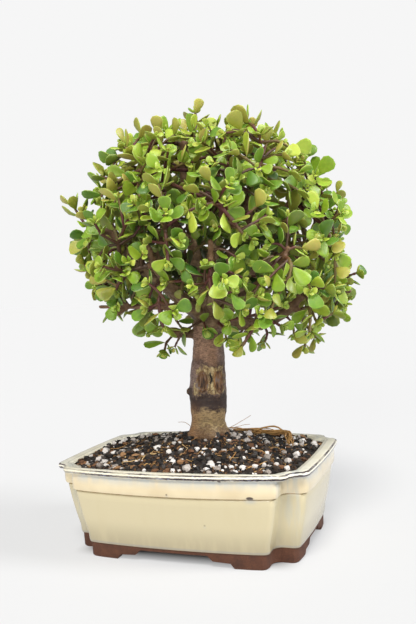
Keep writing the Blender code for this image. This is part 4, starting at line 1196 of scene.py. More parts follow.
def scar_depths(turn, high):
    """How far a point is from the middle of the scar's nearer oval, and how deep the cleft is there."""
    fars = []
    for middle, half in SCAR_OVALS:
        ragged = SCAR_RAGGED * noise.noise(Vector((turn / 14.0, high / 5.0, middle)))
        fars.append(math.hypot((turn - middle) / half, (high - SCAR_HIGH) / SCAR_HALF_HIGH) + ragged)
    wander = CLEFT_TURN + CLEFT_WANDER * math.sin(high * 0.6)
    tall = max(0.0, 1 - ((high - CLEFT_HIGH) / CLEFT_HALF_HIGH) ** 2)
    return min(fars), tall * math.exp(-(((turn - wander) / CLEFT_HALF_WIDE) ** 2))


def relief(point, sample, scar, cleft):
    """How far the bark stands out at a point."""
    out = sum(rise * noise.noise(point / size) for rise, size in BARK_RELIEF)
    if sample.line < 0:
        wrinkle = Vector((point.x / WRINKLE_WIDE, point.y / WRINKLE_WIDE, point.z / WRINKLE_TALL))
        out += WRINKLE_RISE * noise.noise(wrinkle) + SWELL_RISE * noise.noise(point / SWELL_SIZE)
        rim = SCAR_RIM * math.exp(-(((scar - 0.98) / 0.2) ** 2))
        out += rim - SCAR_HOLLOW * (1 - smoothstep(scar, 0.45, 0.85))
        return out - CLEFT_DEEP * cleft
    share = (sample.run / RING_SPACE + 0.37 * sample.line) % 1.0
    return out + RING_RISE * math.sqrt(sample.radius) * math.exp(-(((share - 0.5) / 0.10) ** 2))


def wood_shape(lines, samples):
    """The trunk, limbs, stubs and collars as one skin with bark on it, marked for its colours."""
    shape = loft(trunk_rings())
    for path, root_radius, tip_radius in lines:
        add_shape(shape, loft(tube(path, root_radius, tip_radius, FINE_SIDES)))
    shape = remeshed(shape, WOOD_GRAIN)
    for _ in range(2):
        bmesh.ops.smooth_vert(
            shape, verts=shape.verts, factor=0.5, use_axis_x=True, use_axis_y=True, use_axis_z=True
        )
    shape.normal_update()
    tree = indexed([sample.point for sample in samples])
    ends = [carried(path)[-1] for path, _, _ in lines[len(LIMBS):len(LIMBS) + len(STUBS)]]
    cuts = [(end[0], end[3], stub[0]) for end, stub in zip(ends, STUBS.values())]
    layers = marked(shape, ["high", "turn", "scar", "cleft", "young", "cut"])
    for vert in shape.verts:
        near = [samples[number] for _, number, _ in tree.find_n(vert.co, 6)]
        sample = min(near, key=lambda s: (vert.co - s.point).length - s.radius)
        near_trunk = trunk_radius(vert.co.z) + TRUNK_OWN_NEAR
        if vert.co.z < TRUNK_OWN_TOP and math.hypot(vert.co.x, vert.co.y) < near_trunk:
            sample = trunk_sample(vert.co.z)
        turn = math.degrees(math.atan2(vert.co.x, -vert.co.y))
        scar, cleft = scar_depths(turn, vert.co.z)
        young = 1 - smoothstep(sample.radius, 2.0, 9.0)
        cut_share = min(cut_far(vert.co, *end) for end in cuts)
        values = (vert.co.z, turn / 90.0, scar, cleft, young, cut_share)
        for layer, value in zip(layers, values):
            vert[layer] = value
        out = relief(vert.co, sample, scar, cleft)
        if cut_share < CUT_SUNK_SHARE:
            out = -CUT_SUNK
        vert.co += vert.normal * out
    return shape


def cut_far(point, end, aim, radius):
    """How far out on a cut end a point lies, where 1 is its edge; more than 1 off it."""
    off = point - end
    along = off.dot(aim)
    if abs(along) > 1.3:
        return 3.0
    return (off - aim * along).length / radius + max(0.0, -along) * 0.5


def leaf_template(around, along):
    """A unit leaf: a sphere whose poles are its root and tip, marked for its material."""
    shape = bmesh.new()
    bmesh.ops.create_uvsphere(shape, u_segments=around, v_segments=along, radius=1.0)
    upper, rim, tip = marked(shape, ["upper", "rim", "tip"])
    for vert in shape.verts:
        girth = math.hypot(vert.co.x, vert.co.y)
        vert[upper] = 0.5 + 0.5 * vert.co.y / max(0.001, girth)
        vert[rim] = abs(vert.co.x) / max(0.001, girth) if girth > 0.01 else 1.0
        vert[tip] = (vert.co.z + 1) / 2
    return as_mesh(shape, "leaf")


def lay_leaf(shape, template, leaf, dice, tint, young, thick=FINE_THICK):
    """Adds a thick round leaf on a narrow base, a little cupped and curled, marked for painted shade the
    deeper it lies in the crown.
    """
    tint_layer, young_layer, painted_shade_layer = marked(shape, ["tint", "young", "deep"])
    middle = leaf.root + leaf.aim * leaf.size / 2
    # Painted shade: a leaf deep inside the crown is marked to be painted darker, as if the crown shaded it.
    shaded = 1 - smoothstep(crown_share(middle), 0.45, 0.92)
    facing = (middle - CROWN_MIDDLE).normalized() * FACE_OUT + Vector((0, 0, FACE_UP))
    facing -= facing.dot(leaf.aim) * leaf.aim
    up = (leaf.aim.cross(leaf.flat) + facing).normalized()
    leaf = leaf._replace(flat=up.cross(leaf.aim))
    curl, cup = dice.uniform(*CURL), dice.uniform(*CUP)
    lean, wave = dice.uniform(-LEAF_LEAN, LEAF_LEAN), dice.uniform(-LEAF_WAVE, LEAF_WAVE)
    half_width = leaf.size * LEAF_WIDTH_SHARE / 2 * dice.uniform(*WIDTH_SPREAD)
    for vert in stamp(shape, template):
        x, y, z = vert.co
        share = (z + 1) / 2
        wide = x * ((LEAF_FOOT_WIDE + share) / LEAF_WIDEST)
        plump = max(0.0, 1 - z * z) ** LEAF_PLUMP if abs(z) < 1 else 0.0
        rise = y * plump * thick / 2 * (0.65 + 0.35 * min(1.0, 2.5 * share))
        arch_up = cup * wide * wide * half_width + curl * share * share * leaf.size
        crease = CREASE * leaf.size * math.exp(-((wide / CREASE_HALF) ** 2))
        arch_up -= crease * math.sin(math.pi * min(1.0, share * 1.1))
        arch_up += wave * leaf.size * math.sin(3.0 * share + 2.0 * x)
        side = wide * half_width + lean * leaf.size * share * share
        vert.co = leaf.root + leaf.aim * share * leaf.size + leaf.flat * side + up * (rise + arch_up)
        vert[tint_layer], vert[young_layer], vert[painted_shade_layer] = tint, young, shaded


def lay_twig(shape, frames, radii, young):
    """Adds a round twig with a swelling at each pair of leaves."""
    layer = marked(shape, ["young"])[0]
    points = smooth_path([frame[0] for frame in frames], 2)
    knots = [frame[0] for frame in frames[1:]]
    made = []
    for number, frame in enumerate(carried(points)):
        radius = radii[0] + (radii[-1] - radii[0]) * number / (len(points) - 1)
        near = min((frame[0] - knot).length for knot in knots)
        made.append(ring(frame, radius * (0.80 + 0.35 * math.exp(-((near / 1.3) ** 2))), TWIG_SIDES))
    twig = loft(made)
    for face in twig.faces:
        face.material_index = 1
    for number, vert in enumerate(add_shape(shape, twig)):
        vert[layer] = young + 0.5 * number / (len(points) * TWIG_SIDES)


def tip_leaves(frame, dice, size):
    """The small pairs of young leaves that end a shoot."""
    point, across, over, aim = frame
    made = []
    for number, (share, rise) in enumerate(ROSETTE):
        turn = math.radians(45 + 90 * number + dice.uniform(-15, 15))
        way = math.cos(turn) * across + math.sin(turn) * over
        for side in (way, -way):
            tilt = math.radians(rise + dice.uniform(-8, 8))
            leaf_aim = (side * math.cos(tilt) + aim * math.sin(tilt)).normalized()
            flat = aim.cross(side)
            flat = (flat - flat.dot(leaf_aim) * leaf_aim).normalized()
            length = size * share * dice.uniform(0.85, 1.15)
            made.append(Leaf(point + aim * 0.9 * number, leaf_aim, flat, length))
    return made


def lay_shoot(shape, templates, shoot, dice, mood):
    """Adds a shoot's twig, leaves, side shoots and the rosette at its tip."""
    start = shoot.frames[0]
    back = (start[0] - start[3] * (SPRAY_GAP + 0.6),) + start[1:]
    lay_twig(shape, [back] + list(shoot.frames), shoot.radii, mood)
    for _, _, growth in shoot.growths:
        if isinstance(growth, Leaf):
            higher = smoothstep(growth.root.z, 170.0, 235.0)
            tint = min(1.0, max(0.0, dice.gauss(0.38 + 0.2 * mood + 0.22 * higher, 0.2)))
            lay_leaf(shape, templates[0], growth, dice, tint, 0.0)
        else:
            lay_shoot(shape, templates, growth, dice, mood)
    for leaf in tip_leaves(shoot.frames[-1], dice, ROSETTE_SIZE):
        tint, young = dice.uniform(0.3, 0.9), dice.uniform(0.1, 0.75)
        lay_leaf(shape, templates[1], leaf, dice, tint, young, BUD_THICK)


class Crowd:
    """What stands in the crown, shoot by shoot, so that only what is near is looked at."""

    def __init__(self):
        self.members = []

    def add(self, parts):
        space = Space()
        for sections in parts:
            space.add(sections)
        space.settle()
        self.members.append((*ball(space.points), space.tree))

    def holds(self, sections):
        points, faces = skin(sections)
        middle, reach = ball(points)
        tree = BVHTree.FromPolygons(points, faces)
        for other, far, other_tree in self.members:
            if (other - middle).length < reach + far and other_tree.overlap(tree):
                return True
        return False


def ball(points):
    """The middle of some points, and how far they reach from it."""
    middle = sum(points, Vector()) / len(points)
    return middle, max((point - middle).length for point in points)


def shoots_of(shoot):
    """A shoot and the side shoots that grow from it."""
    found = [shoot]
    for _, _, growth in shoot.growths:
        if isinstance(growth, Shoot):
            found += shoots_of(growth)
    return found


def filling_sites(dice):
    """Places where a young shoot could end: the named ones, then random ones, most near the crown's skin."""
    for place in STRAY_SITES:
        yield Vector(place)
    for number in range(FILL_SITES * FILL_TRIES):
        way = Vector([dice.gauss(0, 1) for _ in range(3)]).normalized()
        if way.z > -FILL_LOWEST:
            low, high = FILL_SHARES[int(number % 5 == 0)]
            yield crown_point(way, dice.uniform(low, high) * (1 + FILL_TOP_MORE * max(0.0, way.z)))


def filling_shoot(site, place, dice):
    """A young shoot from a place on the wood to a site, before anything is left out."""
    point, run, radius = place
    out = (site - point).normalized()
    way = (out + 0.3 * run + Vector((0, 0, 0.3))).normalized()
    start = point + way * radius * 0.9
    length = (site - start).length
    pairs = max(1, min(FILL_PAIRS, int(length / FILL_SPACING)))
    turn = dice.uniform(0, math.pi)
    frames, radii, segments = paired_line(
        start, way, site, pairs, turn, FILL_RADIUS, FILL_TIP_RADIUS, spacing=FILL_SPACING
    )
    growths = []
    for number, segment in enumerate(segments):
        for spot, side in sides_of(frames, radii, segment, number % 2):
            size = FILL_LEAF + dice.uniform(-1, 1) * FILL_LEAF_SPREAD / 2
            growths.append((segment, side, grow_leaf(spot, side, frames[segment][3], dice, size)))
    return Shoot(frames, radii, growths)


def within(point, box, margin):
    """Whether a point lies inside a box, by a margin."""
    return all(low + margin < value < high - margin for low, value, high in zip(box[0], point, box[1]))


def clear_of_windows(shoot, place, box):
    """The shoot without leaves that pass the box or hide the limbs where the crown is open."""
    kept = []
    for growth in shoot.growths:
        if not within(place @ (growth[2].root + growth[2].aim * growth[2].size), box, LEAF_INSIDE):
            continue
        middle = growth[2].root + growth[2].aim * growth[2].size * 0.6
        if middle.y > WINDOW_BACK or all(math.hypot(middle.x - x, middle.z - z) > r for x, z, r in WINDOWS):
            kept.append(growth)
    return Shoot(shoot.frames, shoot.radii, kept)


def fill_crown(sprays, place, box):
    """Young shoots between the sprays, each from wood near a place in the crown that has room for it."""
    dice = random.Random(FILL_SEED)
    crowd = Crowd()
    crowd.add(wood_sections() + [tube(*FILL_TRUNK, TRUNK_SIDES)])
    places, tips = limb_points(), []
    places += [(Vector(place), Vector((0, -0.6, 0.8)), 1.0) for place in TRUNK_BUDS]
    for radius, root, end in STUBS.values():
        run = (Vector(end) - Vector(root)).normalized()
        places += [(Vector(root).lerp(end, share), run, radius) for share in STUB_BUDS]
    for _, _, twig in sprays:
        crowd.add(all_sections(twig))
        for shoot in shoots_of(twig):
            tips.append(shoot.frames[-1][0])
            places += [(point, aim, TWIG_RADIUS) for point, _, _, aim in shoot.frames[1:]]
    tree = indexed([place[0] for place in places])
    made = []
    for site in filling_sites(dice):
        if not within(place @ site, box, TIP_INSIDE) or any((site - tip).length < FILL_APART for tip in tips):
            continue
        found = tree.find_n(site, FILL_NEAR)
        near = [places[number] for _, number, far in found if FILL_LEAST < far < FILL_MOST]
        out = (site - CROWN_MIDDLE).normalized()
        near = [start for start in near if (site - start[0]).normalized().dot(out) > FILL_OUTWARD]
        for start in near[:FILL_STARTS]:
            shoot = filling_shoot(site, start, dice)
            if crowd.holds(shoot_sections(shoot, 0.1, CLEAR_OF_ROOT)):
                continue
            shoot = with_room(clear_of_windows(shoot, place, box), crowd, Space())
            if len(shoot.growths) < 2:
                continue
            crowd.add(all_sections(shoot))
            tips.append(site)
            made.append(shoot)
            break
        if len(made) == FILL_SITES:
            break
    return made


def soil_shape():
    """The soil, filling the pot to its wall, with a grainy top."""
    bed = bmesh.new()
    bmesh.ops.create_grid(bed, x_segments=SOIL_CELLS[0], y_segments=SOIL_CELLS[1], size=0.5)
    bmesh.ops.scale(bed, vec=(POT_LENGTH + 6.0, POT_DEPTH + 6.0, 1.0), verts=bed.verts)
    for vert in bed.verts:
        rise = sum(high * noise.noise(vert.co / size) for high, size in SOIL_RELIEF)
        vert.co.z = soil_top(vert.co.x, vert.co.y) + rise + SOIL_MORE
    pushed = bmesh.ops.extrude_face_region(bed, geom=list(bed.faces), use_keep_orig=True)["geom"]
    for part in pushed:
        if isinstance(part, bmesh.types.BMVert):
            part.co.z = 0.0
    flat = [f for f in bed.faces if all(abs(v.co.z) < 1e-6 for v in f.verts)]
    bmesh.ops.dissolve_faces(bed, faces=flat)
    bmesh.ops.recalc_face_normals(bed, faces=bed.faces)
    filling = inside_levels(SOIL_WALL_GAP, FLOOR_GAP, SOIL_NOTCH)
    filling.append(inset_level(RIM_WIDTH + 0.4 + SOIL_WALL_GAP, POT_HEIGHT + 30.0, SOIL_NOTCH))
    bed = cut(bed, [loft(filling)], "INTERSECT")
    pockets = []
    for side in (-1, 1):
        pocket = bmesh.new()
        bmesh.ops.create_cube(pocket, size=SCREEN_SIDE + 2 * FLOOR_GAP)
        spot = (side * DRAIN_X, 0.0, POCKET_TOP - SCREEN_SIDE / 2)
        bmesh.ops.translate(pocket, vec=spot, verts=pocket.verts)
        pockets.append(pocket)
    return cut(bed, pockets)


def pebble_template(bevel):
    """A unit lump: a cube, its edges and corners cut off by a share."""
    shape = bmesh.new()
    bmesh.ops.create_cube(shape, size=2.0)
    if bevel:
        bmesh.ops.bevel(
            shape, geom=shape.edges[:] + shape.verts[:], offset=bevel, segments=1, affect="EDGES",
            profile=0.5, material=-1,
        )
    return as_mesh(shape, "pebble")


def on_soil(ground, x, y):
    """The point on the soil's top at a place, or None where there isn't any."""
    spot = ground.ray_cast(Vector((x, y, 100.0)), Vector((0, 0, -1)))[0]
    return None if spot is None or spot.z < SOIL_LEAST else spot


def strewn(name, settings, dice, ground, place, paint, smooth):
    """A piece of many lumps that lie on the soil."""
    count, least, most, bevel, flat, sunk = settings
    shape = bmesh.new()
    layer = marked(shape, ["tint"])[0]
    template = pebble_template(bevel)
    laid = 0
    while laid < count:
        x, y = dice.uniform(-1, 1) * POT_LENGTH / 2, dice.uniform(-1, 1) * POT_DEPTH / 2
        spot = on_soil(ground, x, y)
        if spot is None or (spot - TREE_FOOT).xy.length < TRUNK_ROOM:
            continue
        laid += 1
        size = least + (most - least) * dice.random() ** GRAIN_POWER
        turn = Matrix.Rotation(dice.uniform(0, 6.3), 3, "Z")
        turn = turn @ Matrix.Rotation(dice.gauss(0, GRAIN_TILT), 3, "X")
        shares = Vector((dice.uniform(*GRAIN_LONG), dice.uniform(*GRAIN_WIDE), dice.uniform(*flat)))
        tint = dice.random()
        middle = spot + Vector((0, 0, size * shares.z * sunk))
        for vert in stamp(shape, template):
            jitter = Vector([dice.uniform(-GRAIN_JITTER, GRAIN_JITTER) for _ in range(3)])
            local = (vert.co + jitter) * shares * size * GRAIN_FILL
            vert.co = middle + turn @ local
            vert[layer] = tint
    bpy.data.meshes.remove(template)
    return finished(name, shape, place, [paint], smooth)


def fibre_shape(dice, ground):
    """Thin dry roots in loose curls on the soil, the loose hairs by the trunk, and the ridge behind it."""
    shape = bmesh.new()
    layer = marked(shape, ["tint"])[0]
    for _ in range(HAIR_ROOTS):
        x, y = dice.uniform(-0.8, 0.8) * POT_LENGTH / 2, dice.uniform(-0.8, 0.8) * POT_DEPTH / 2
        turn, length = dice.uniform(0, 6.3), dice.uniform(*HAIR_LENGTH)
        points = []
        for _ in range(6):
            spot = on_soil(ground, x, y)
            if spot is None:
                break
            points.append(spot + Vector((0, 0, dice.uniform(0.2, 1.6))))
            turn += dice.gauss(0, 0.5)
            x, y = x + math.cos(turn) * length / 5, y + math.sin(turn) * length / 5
        if len(points) < 4:
            continue
        girth = dice.uniform(*HAIR_GIRTH)
        tint = dice.random()
        for vert in add_shape(shape, loft(tube(smooth_path(points, 3), girth, girth * ROOT_TAPER, 4))):
            vert[layer] = tint
    strands = [(points, LOOSE_GIRTH) for points in LOOSE_HAIRS]
    for _ in range(RIDGE_STRANDS):
        first = dice.randrange(3)
        points = []
        for point in ROOT_RIDGE[first:]:
            points.append(Vector(point) + Vector([dice.gauss(0, STRAND_STRAY) for _ in range(3)]))
        strands.append((points, dice.uniform(*STRAND_GIRTH)))
    for points, girth in strands:
        for vert in add_shape(shape, loft(tube(smooth_path(points, 4), girth, girth * ROOT_TAPER, 7))):
            vert.co += noise.noise_vector(vert.co / 4.0) * girth * 0.5
            vert[layer] = 0.1 + girth * 0.3
    return shape


def glaze():
    """Cream glaze that thins to brown on the lip's edges and is darker towards the bottom of the wall."""
    paint = Paint("cream_glaze_fine", 0.17, coat_weight=0.35, coat_roughness=0.08)
    run, height = paint.attribute("profile"), paint.axis("Z") / MM
    drift, fine = paint.grain(26.0, 2.0), paint.grain(3.2, 3.0)
    streaks = paint.grain(7.0, 3.0, (1.0, 1.0, 0.16))
    wall = paint.mix(height.rises(11.0, 32.0), (0.37, 0.32, 0.205), (0.54, 0.475, 0.305))
    wall = paint.mix(streaks.rises(0.45, 0.75) * 0.35, wall, (0.52, 0.45, 0.28))
    band = paint.mix(drift.rises(0.3, 0.7), (0.63, 0.52, 0.33), (0.72, 0.62, 0.42))
    lip = paint.mix(drift.rises(0.3, 0.7), (0.76, 0.71, 0.55), (0.84, 0.81, 0.68))
    colour = paint.mix(height.rises(BAND_FOOT - 0.2, BAND_FOOT + 0.6), wall, band)
    colour = paint.mix(height.rises(63.3, 64.6), colour, lip)
    cool = streaks.rises(0.15, 0.65) * height.rises(55.0, 63.0) * (1 - height.rises(63.0, 64.0)) * 0.75
    colour = paint.mix(cool, colour, (0.46, 0.48, 0.46))
    across, away = paint.axis("X") / MM - POT_MIDDLE[0], paint.axis("Y") / MM - POT_MIDDLE[1]
    corner = abs(across).rises(76.0, 84.0) * abs(away).rises(42.0, 48.0) * streaks.rises(0.42, 0.62)
    colour = paint.mix(corner * 0.45, colour, (0.40, 0.45, 0.46))
    groove = height.near(BAND_FOOT + 0.15, 0.55) * (0.25 + 0.5 * fine.rises(0.35, 0.6))
    colour = paint.mix(groove, colour, (0.30, 0.17, 0.07))
    jag = (paint.grain(2.4, 2.0) - 0.5) * 0.9
    profile = pot_profile()
    low_run, top_run = run_at(profile, LOW_EDGE_AT), run_at(profile, TOP_EDGE_AT)
    low_edge = (run + jag).near(low_run, 1.3).rises(0.1, 0.6) * (0.55 + 0.45 * drift.rises(0.3, 0.55))
    top_edge = (run + jag).near(top_run, 1.3).rises(0.1, 0.6) * (0.5 + 0.5 * drift.rises(0.35, 0.6))
    inner_edge = (run + jag).near(run_at(profile, INNER_EDGE_AT, True), 1.0) * 0.5
    smear = (run + 2.0 * jag).near(low_run - 2.4, 3.4) * drift.rises(0.3, 0.65)
    colour = paint.mix(smear * 0.65, colour, (0.33, 0.39, 0.45))
    edges = paint.ramp(fine, (
        (0.38, (0.014, 0.011, 0.020)), (0.52, (0.060, 0.034, 0.028)), (0.66, (0.12, 0.13, 0.19)),
    ))
    for edge, share in ((low_edge, 1.0), (top_edge, 0.95), (inner_edge, 0.6)):
        colour = paint.mix(edge * share, colour, edges)
    hem = height.near(FOOT_HEIGHT + 0.9, 1.3) * (0.4 + 0.6 * fine)
    colour = paint.mix(hem * 0.75, colour, (0.26, 0.25, 0.24))
    for x, y, z, wide, tall, strength in PITS:
        off_x, off_z = (across - x) / wide, (height - z) / tall
        far = off_x * off_x + off_z * off_z
        front = (1 - away.rises(y + 6.0, y + 12.0)) * strength
        stain = abs(off_x).near(0.0, 2.4) * abs(off_z + 1.8).near(0.0, 2.6) * front * 0.5
        colour = paint.mix(stain, colour, (0.30, 0.34, 0.38))
        colour = paint.mix((1 - far.rises(0.5, 1.3)) * front, colour, (0.040, 0.024, 0.020))
    bumps = drift * 0.6 + fine * 0.25
    return paint.shade(base_color=colour, normal=paint.bump(bumps, 0.25, 0.8), roughness=0.13 + 0.12 * fine)


def clay():
    """Bare red-brown stoneware."""
    paint = Paint("bare_clay", 0.8)
    coarse, fine = paint.grain(9.0, 4.0), paint.grain(1.0, 4.0)
    colour = paint.ramp(coarse * 0.6 + fine * 0.4, (
        (0.30, (0.045, 0.016, 0.008)), (0.5, (0.080, 0.027, 0.012)), (0.7, (0.125, 0.046, 0.021)),
    ))
    return paint.shade(base_color=colour, normal=paint.bump(fine, 0.6, 0.5), roughness=0.72 + 0.2 * fine)


def bark():
    """Smooth bark: banded and wrinkled on the trunk, ringed on the limbs, with healed scars, a cleft painted
    near black as painted shade, and cut ends.
    """
    paint = Paint("trunk_bark", 0.62)
    high, turn, scar, cleft = (paint.attribute(name) for name in ("high", "turn", "scar", "cleft"))
    young, cut_end = (paint.attribute(name) for name in ("young", "cut"))
    coarse, mottle, fine = paint.grain(11.0, 3.0), paint.grain(3.4, 3.0), paint.grain(1.1, 3.0)
    wrinkles = paint.grain(3.2, 4.0, (1.0, 1.0, 4.2), 0.7)
    level = (high + (coarse - 0.5) * 18.0 + (mottle - 0.5) * 11.0 + turn * 1.6) / 100.0
    trunk = paint.ramp(level, BARK_BANDS)
    flank = (1 - turn.rises(-0.85, -0.45)) * high.near(46.0, 20.0) * 0.6
    trunk = paint.mix(flank, trunk, (0.27, 0.20, 0.20))
    low_side = (1 - turn.rises(-0.75, -0.1)) * (1 - high.rises(14.0, 30.0)) * 0.6
    trunk = paint.mix(low_side, trunk, (0.38, 0.19, 0.085))
    cool_side = turn.rises(0.2, 0.6) * high.rises(50.0, 62.0) * 0.55
    trunk = paint.mix(cool_side, trunk, (0.19, 0.16, 0.165))
    warm_side = (1 - turn.rises(-0.6, -0.1)) * high.rises(56.0, 64.0) * 0.5
    trunk = paint.mix(warm_side, trunk, (0.44, 0.27, 0.20))
    trunk = paint.mix(wrinkles.rises(0.45, 0.60) * 0.65, trunk, (0.050, 0.024, 0.014))
    trunk = paint.mix(fine.rises(0.50, 0.68) * 0.35 * (1 - high.near(26.0, 11.0)), trunk, (0.42, 0.29, 0.17))
    trunk = paint.mix(mottle.rises(0.48, 0.62) * high.rises(54.0, 62.0) * 0.45, trunk, (0.075, 0.036, 0.022))
    threads = paint.grain(2.0, 3.0, (1.0, 1.0, 0.22), 0.6)
    inside = paint.ramp(threads, (
        (0.36, (0.025, 0.011, 0.006)), (0.47, (0.090, 0.040, 0.016)),
        (0.56, (0.19, 0.095, 0.036)), (0.66, (0.17, 0.14, 0.13)),
    ))
    callus = paint.ramp(threads * 0.6 + fine * 0.4, (
        (0.38, (0.08, 0.042, 0.018)), (0.49, (0.28, 0.19, 0.080)), (0.6, (0.50, 0.40, 0.21)),
    ))
    ragged = (mottle - 0.5) * 1.3 + (coarse - 0.5) * 0.9
    round_scar = (turn + ragged).near(0.09, 0.76).rises(0.10, 0.30)
    up_scar = (high + ragged * 11.0).near(43.8, 14.5).rises(0.12, 0.32)
    trunk = paint.mix(round_scar * up_scar, trunk, callus)
    trunk = paint.mix(1 - scar.rises(0.76, 0.96), trunk, inside)
    torn = turn.near(0.225, 0.075).rises(0.0, 0.6) * high.near(44.0, 9.5).rises(0.0, 0.5) * 0.8
    fibres = paint.mix(threads.rises(0.4, 0.6), (0.20, 0.085, 0.022), (0.52, 0.27, 0.085))
    trunk = paint.mix(torn, trunk, fibres)
    # Painted shade: the cleft is painted near black, as the shadow deep in the crack.
    trunk = paint.mix(cleft.rises(0.15, 0.6), trunk, (0.006, 0.004, 0.003))
    limb = paint.ramp(coarse * 0.5 + mottle * 0.5, (
        (0.34, (0.060, 0.034, 0.018)), (0.48, (0.17, 0.105, 0.053)), (0.64, (0.33, 0.23, 0.125)),
    ))
    ringed = paint.grain(6.0, 2.0, (0.3, 0.3, 3.0))
    limb = paint.mix(ringed.rises(0.5, 0.7) * 0.35, limb, (0.06, 0.028, 0.016))
    shade = paint.mix(young.rises(0.0, 0.15), trunk, limb)
    shade = paint.mix(young.rises(0.7, 1.0) * 0.5, shade, (0.16, 0.07, 0.030))
    knob = turn.near(-0.84, 0.34).rises(0.1, 0.5) * high.near(33.5, 5.5).rises(0.1, 0.5)
    shade = paint.mix(knob * 0.85, shade, (0.045, 0.028, 0.022))
    rim = cut_end.near(0.86, 0.26)
    shade = paint.mix(1 - cut_end.rises(0.55, 0.75), shade, (0.055, 0.027, 0.014))
    shade = paint.mix(rim * 0.85, shade, (0.42, 0.29, 0.16))
    height = wrinkles * 0.5 + fine * 0.2 + mottle * 0.4
    return paint.shade(base_color=shade, normal=paint.bump(height, 0.75, 0.9), roughness=0.5 + 0.25 * mottle)


def leaf_skin():
    """Thick waxy leaves: green above, olive below, bright lime on young ones, with a pale rim that is partly
    painted highlight, and painted shade on leaves deep in the crown.
    """
    paint = Paint(
        "leaf_skin", 0.33, subsurface_weight=0.12, subsurface_scale=0.003, coat_weight=0.1,
        coat_roughness=0.3,
    )
    paint.shader.inputs["Subsurface Radius"].default_value = (0.35, 1.0, 0.12)
    upper, rim, tip = (paint.attribute(name) for name in ("upper", "rim", "tip"))
    tint, young = paint.attribute("tint"), paint.attribute("young")
    mottle, fine = paint.grain(4.0, 2.0), paint.grain(1.2, 2.0)
    shade = tint + (mottle - 0.5) * 0.35
    face = paint.ramp(shade, LEAF_SHADES)
    under = paint.ramp(shade, UNDER_SHADES)
    colour = paint.mix(upper.rises(0.35, 0.6), under, face)
    colour = paint.mix(young, colour, paint.mix(tint, (0.30, 0.46, 0.045), (0.52, 0.56, 0.10)))
    # The pale rim is partly the leaf's own thin pale edge and partly a painted highlight along it.
    colour = paint.mix(rim.rises(0.84, 0.97) * 0.5, colour, (0.50, 0.60, 0.16))
    colour = paint.mix((1 - tip.rises(0.0, 0.12)) * 0.6, colour, (0.30, 0.30, 0.07))
    # Painted shade: leaves deep inside the crown, by the mark "deep", are darkened nearly to black.
    colour = paint.mix(paint.attribute("deep") * 0.88, colour, (0.012, 0.022, 0.003))
    bumps = mottle * 0.7 + fine * 0.3
    return paint.shade(base_color=colour, normal=paint.bump(bumps, 0.35, 0.5), roughness=0.36 + 0.2 * mottle)


def twig_skin():
    """Twigs that go from brown at the root to wine red and green at the tip."""
    paint = Paint("twig_skin", 0.5)
    age, mottle = paint.attribute("young"), paint.grain(3.0, 3.0)
    shade = age + (mottle - 0.5) * 0.5
    colour = paint.ramp(shade, (
        (0.0, (0.050, 0.028, 0.013)), (0.4, (0.080, 0.038, 0.018)),
        (0.8, (0.100, 0.022, 0.022)), (1.0, (0.14, 0.10, 0.025)),
    ))
    return paint.shade(base_color=colour, normal=paint.bump(mottle, 0.5, 0.4), roughness=0.4 + 0.25 * mottle)


def lump_paint(name):
    """The rough finish of a grain or a dry root, from its own tint and a fine grain."""
    roughness, stops, size, deep = LUMPS[name]
    paint = Paint(name, roughness)
    tint, grain, fine = paint.attribute("tint"), paint.grain(size, 4.0), paint.grain(size * 0.3, 3.0)
    colour = paint.ramp(tint * 0.7 + grain * 0.5 - 0.1, stops)
    return paint.shade(base_color=colour, normal=paint.bump(grain * 0.5 + fine * 0.5, 0.9, deep))


def soil_paint():
    """Dark damp fines between the grains."""
    paint = Paint("dark_fines", 0.9)
    grain, fine = paint.grain(2.6, 5.0), paint.grain(0.8, 3.0)
    colour = paint.ramp(grain * 0.6 + fine * 0.4, (
        (0.35, (0.006, 0.004, 0.004)), (0.55, (0.028, 0.016, 0.011)), (0.72, (0.085, 0.048, 0.026)),
    ))
    return paint.shade(base_color=colour, normal=paint.bump(grain + fine, 1.0, 1.6))


def screen_paint():
    """Black moulded mesh with a fine mould grain."""
    paint = Paint("screen_mesh", 0.6)
    grain = paint.grain(1.4, 3.0)
    colour = paint.ramp(grain, ((0.3, (0.012, 0.012, 0.013)), (0.7, (0.032, 0.032, 0.034))))
    return paint.shade(base_color=colour, normal=paint.bump(grain, 0.4, 0.2), roughness=0.5 + 0.2 * grain)


def add_floor(middle):
    """A wide pale floor that meets the pale background without an edge, with a painted shadow under the pot,
    where its glow is left out.
    """
    shape = bmesh.new()
    bmesh.ops.create_grid(shape, x_segments=1, y_segments=1, size=FLOOR_SIZE / 2)
    bmesh.ops.scale(shape, vec=(MM, MM, MM), verts=shape.verts)
    mesh = as_mesh(shape, "floor")
    lit = [SKY_STRENGTH] * 3
    for strength, _, _, height, colour in SUNS.values():
        for i in range(3):
            lit[i] += strength * math.sin(math.radians(height)) * colour[i] / math.pi
    paint = Paint("pale_floor", 0.9, specular_ior_level=0.0)
    glow = [BACKGROUND - FLOOR_WHITE * amount for amount in lit]
    paint.own("emission_strength").default_value = 1.0
    # Painted shadow: the floor's glow is left out over the pot's footprint, so the floor under the pot is
    # painted darker.
    across, away = (abs(paint.axis(name) - at) for name, at in (("X", middle.x), ("Y", middle.y)))
    outside_painted_shadow = 1 - (1 - across.rises(0.070, 0.092)) * (1 - away.rises(0.042, 0.062))
    speck = paint.grain(40.0, 2.0) * 0.02 - 0.01
    white = paint.mix(speck, (FLOOR_WHITE,) * 3, (0.0, 0.0, 0.0))
    glow_with_painted_shadow = paint.mix(outside_painted_shadow, (0.0, 0.0, 0.0), tuple(glow))
    mesh.materials.append(paint.shade(base_color=white, emission_color=glow_with_painted_shadow))
    floor = as_object("floor", mesh)


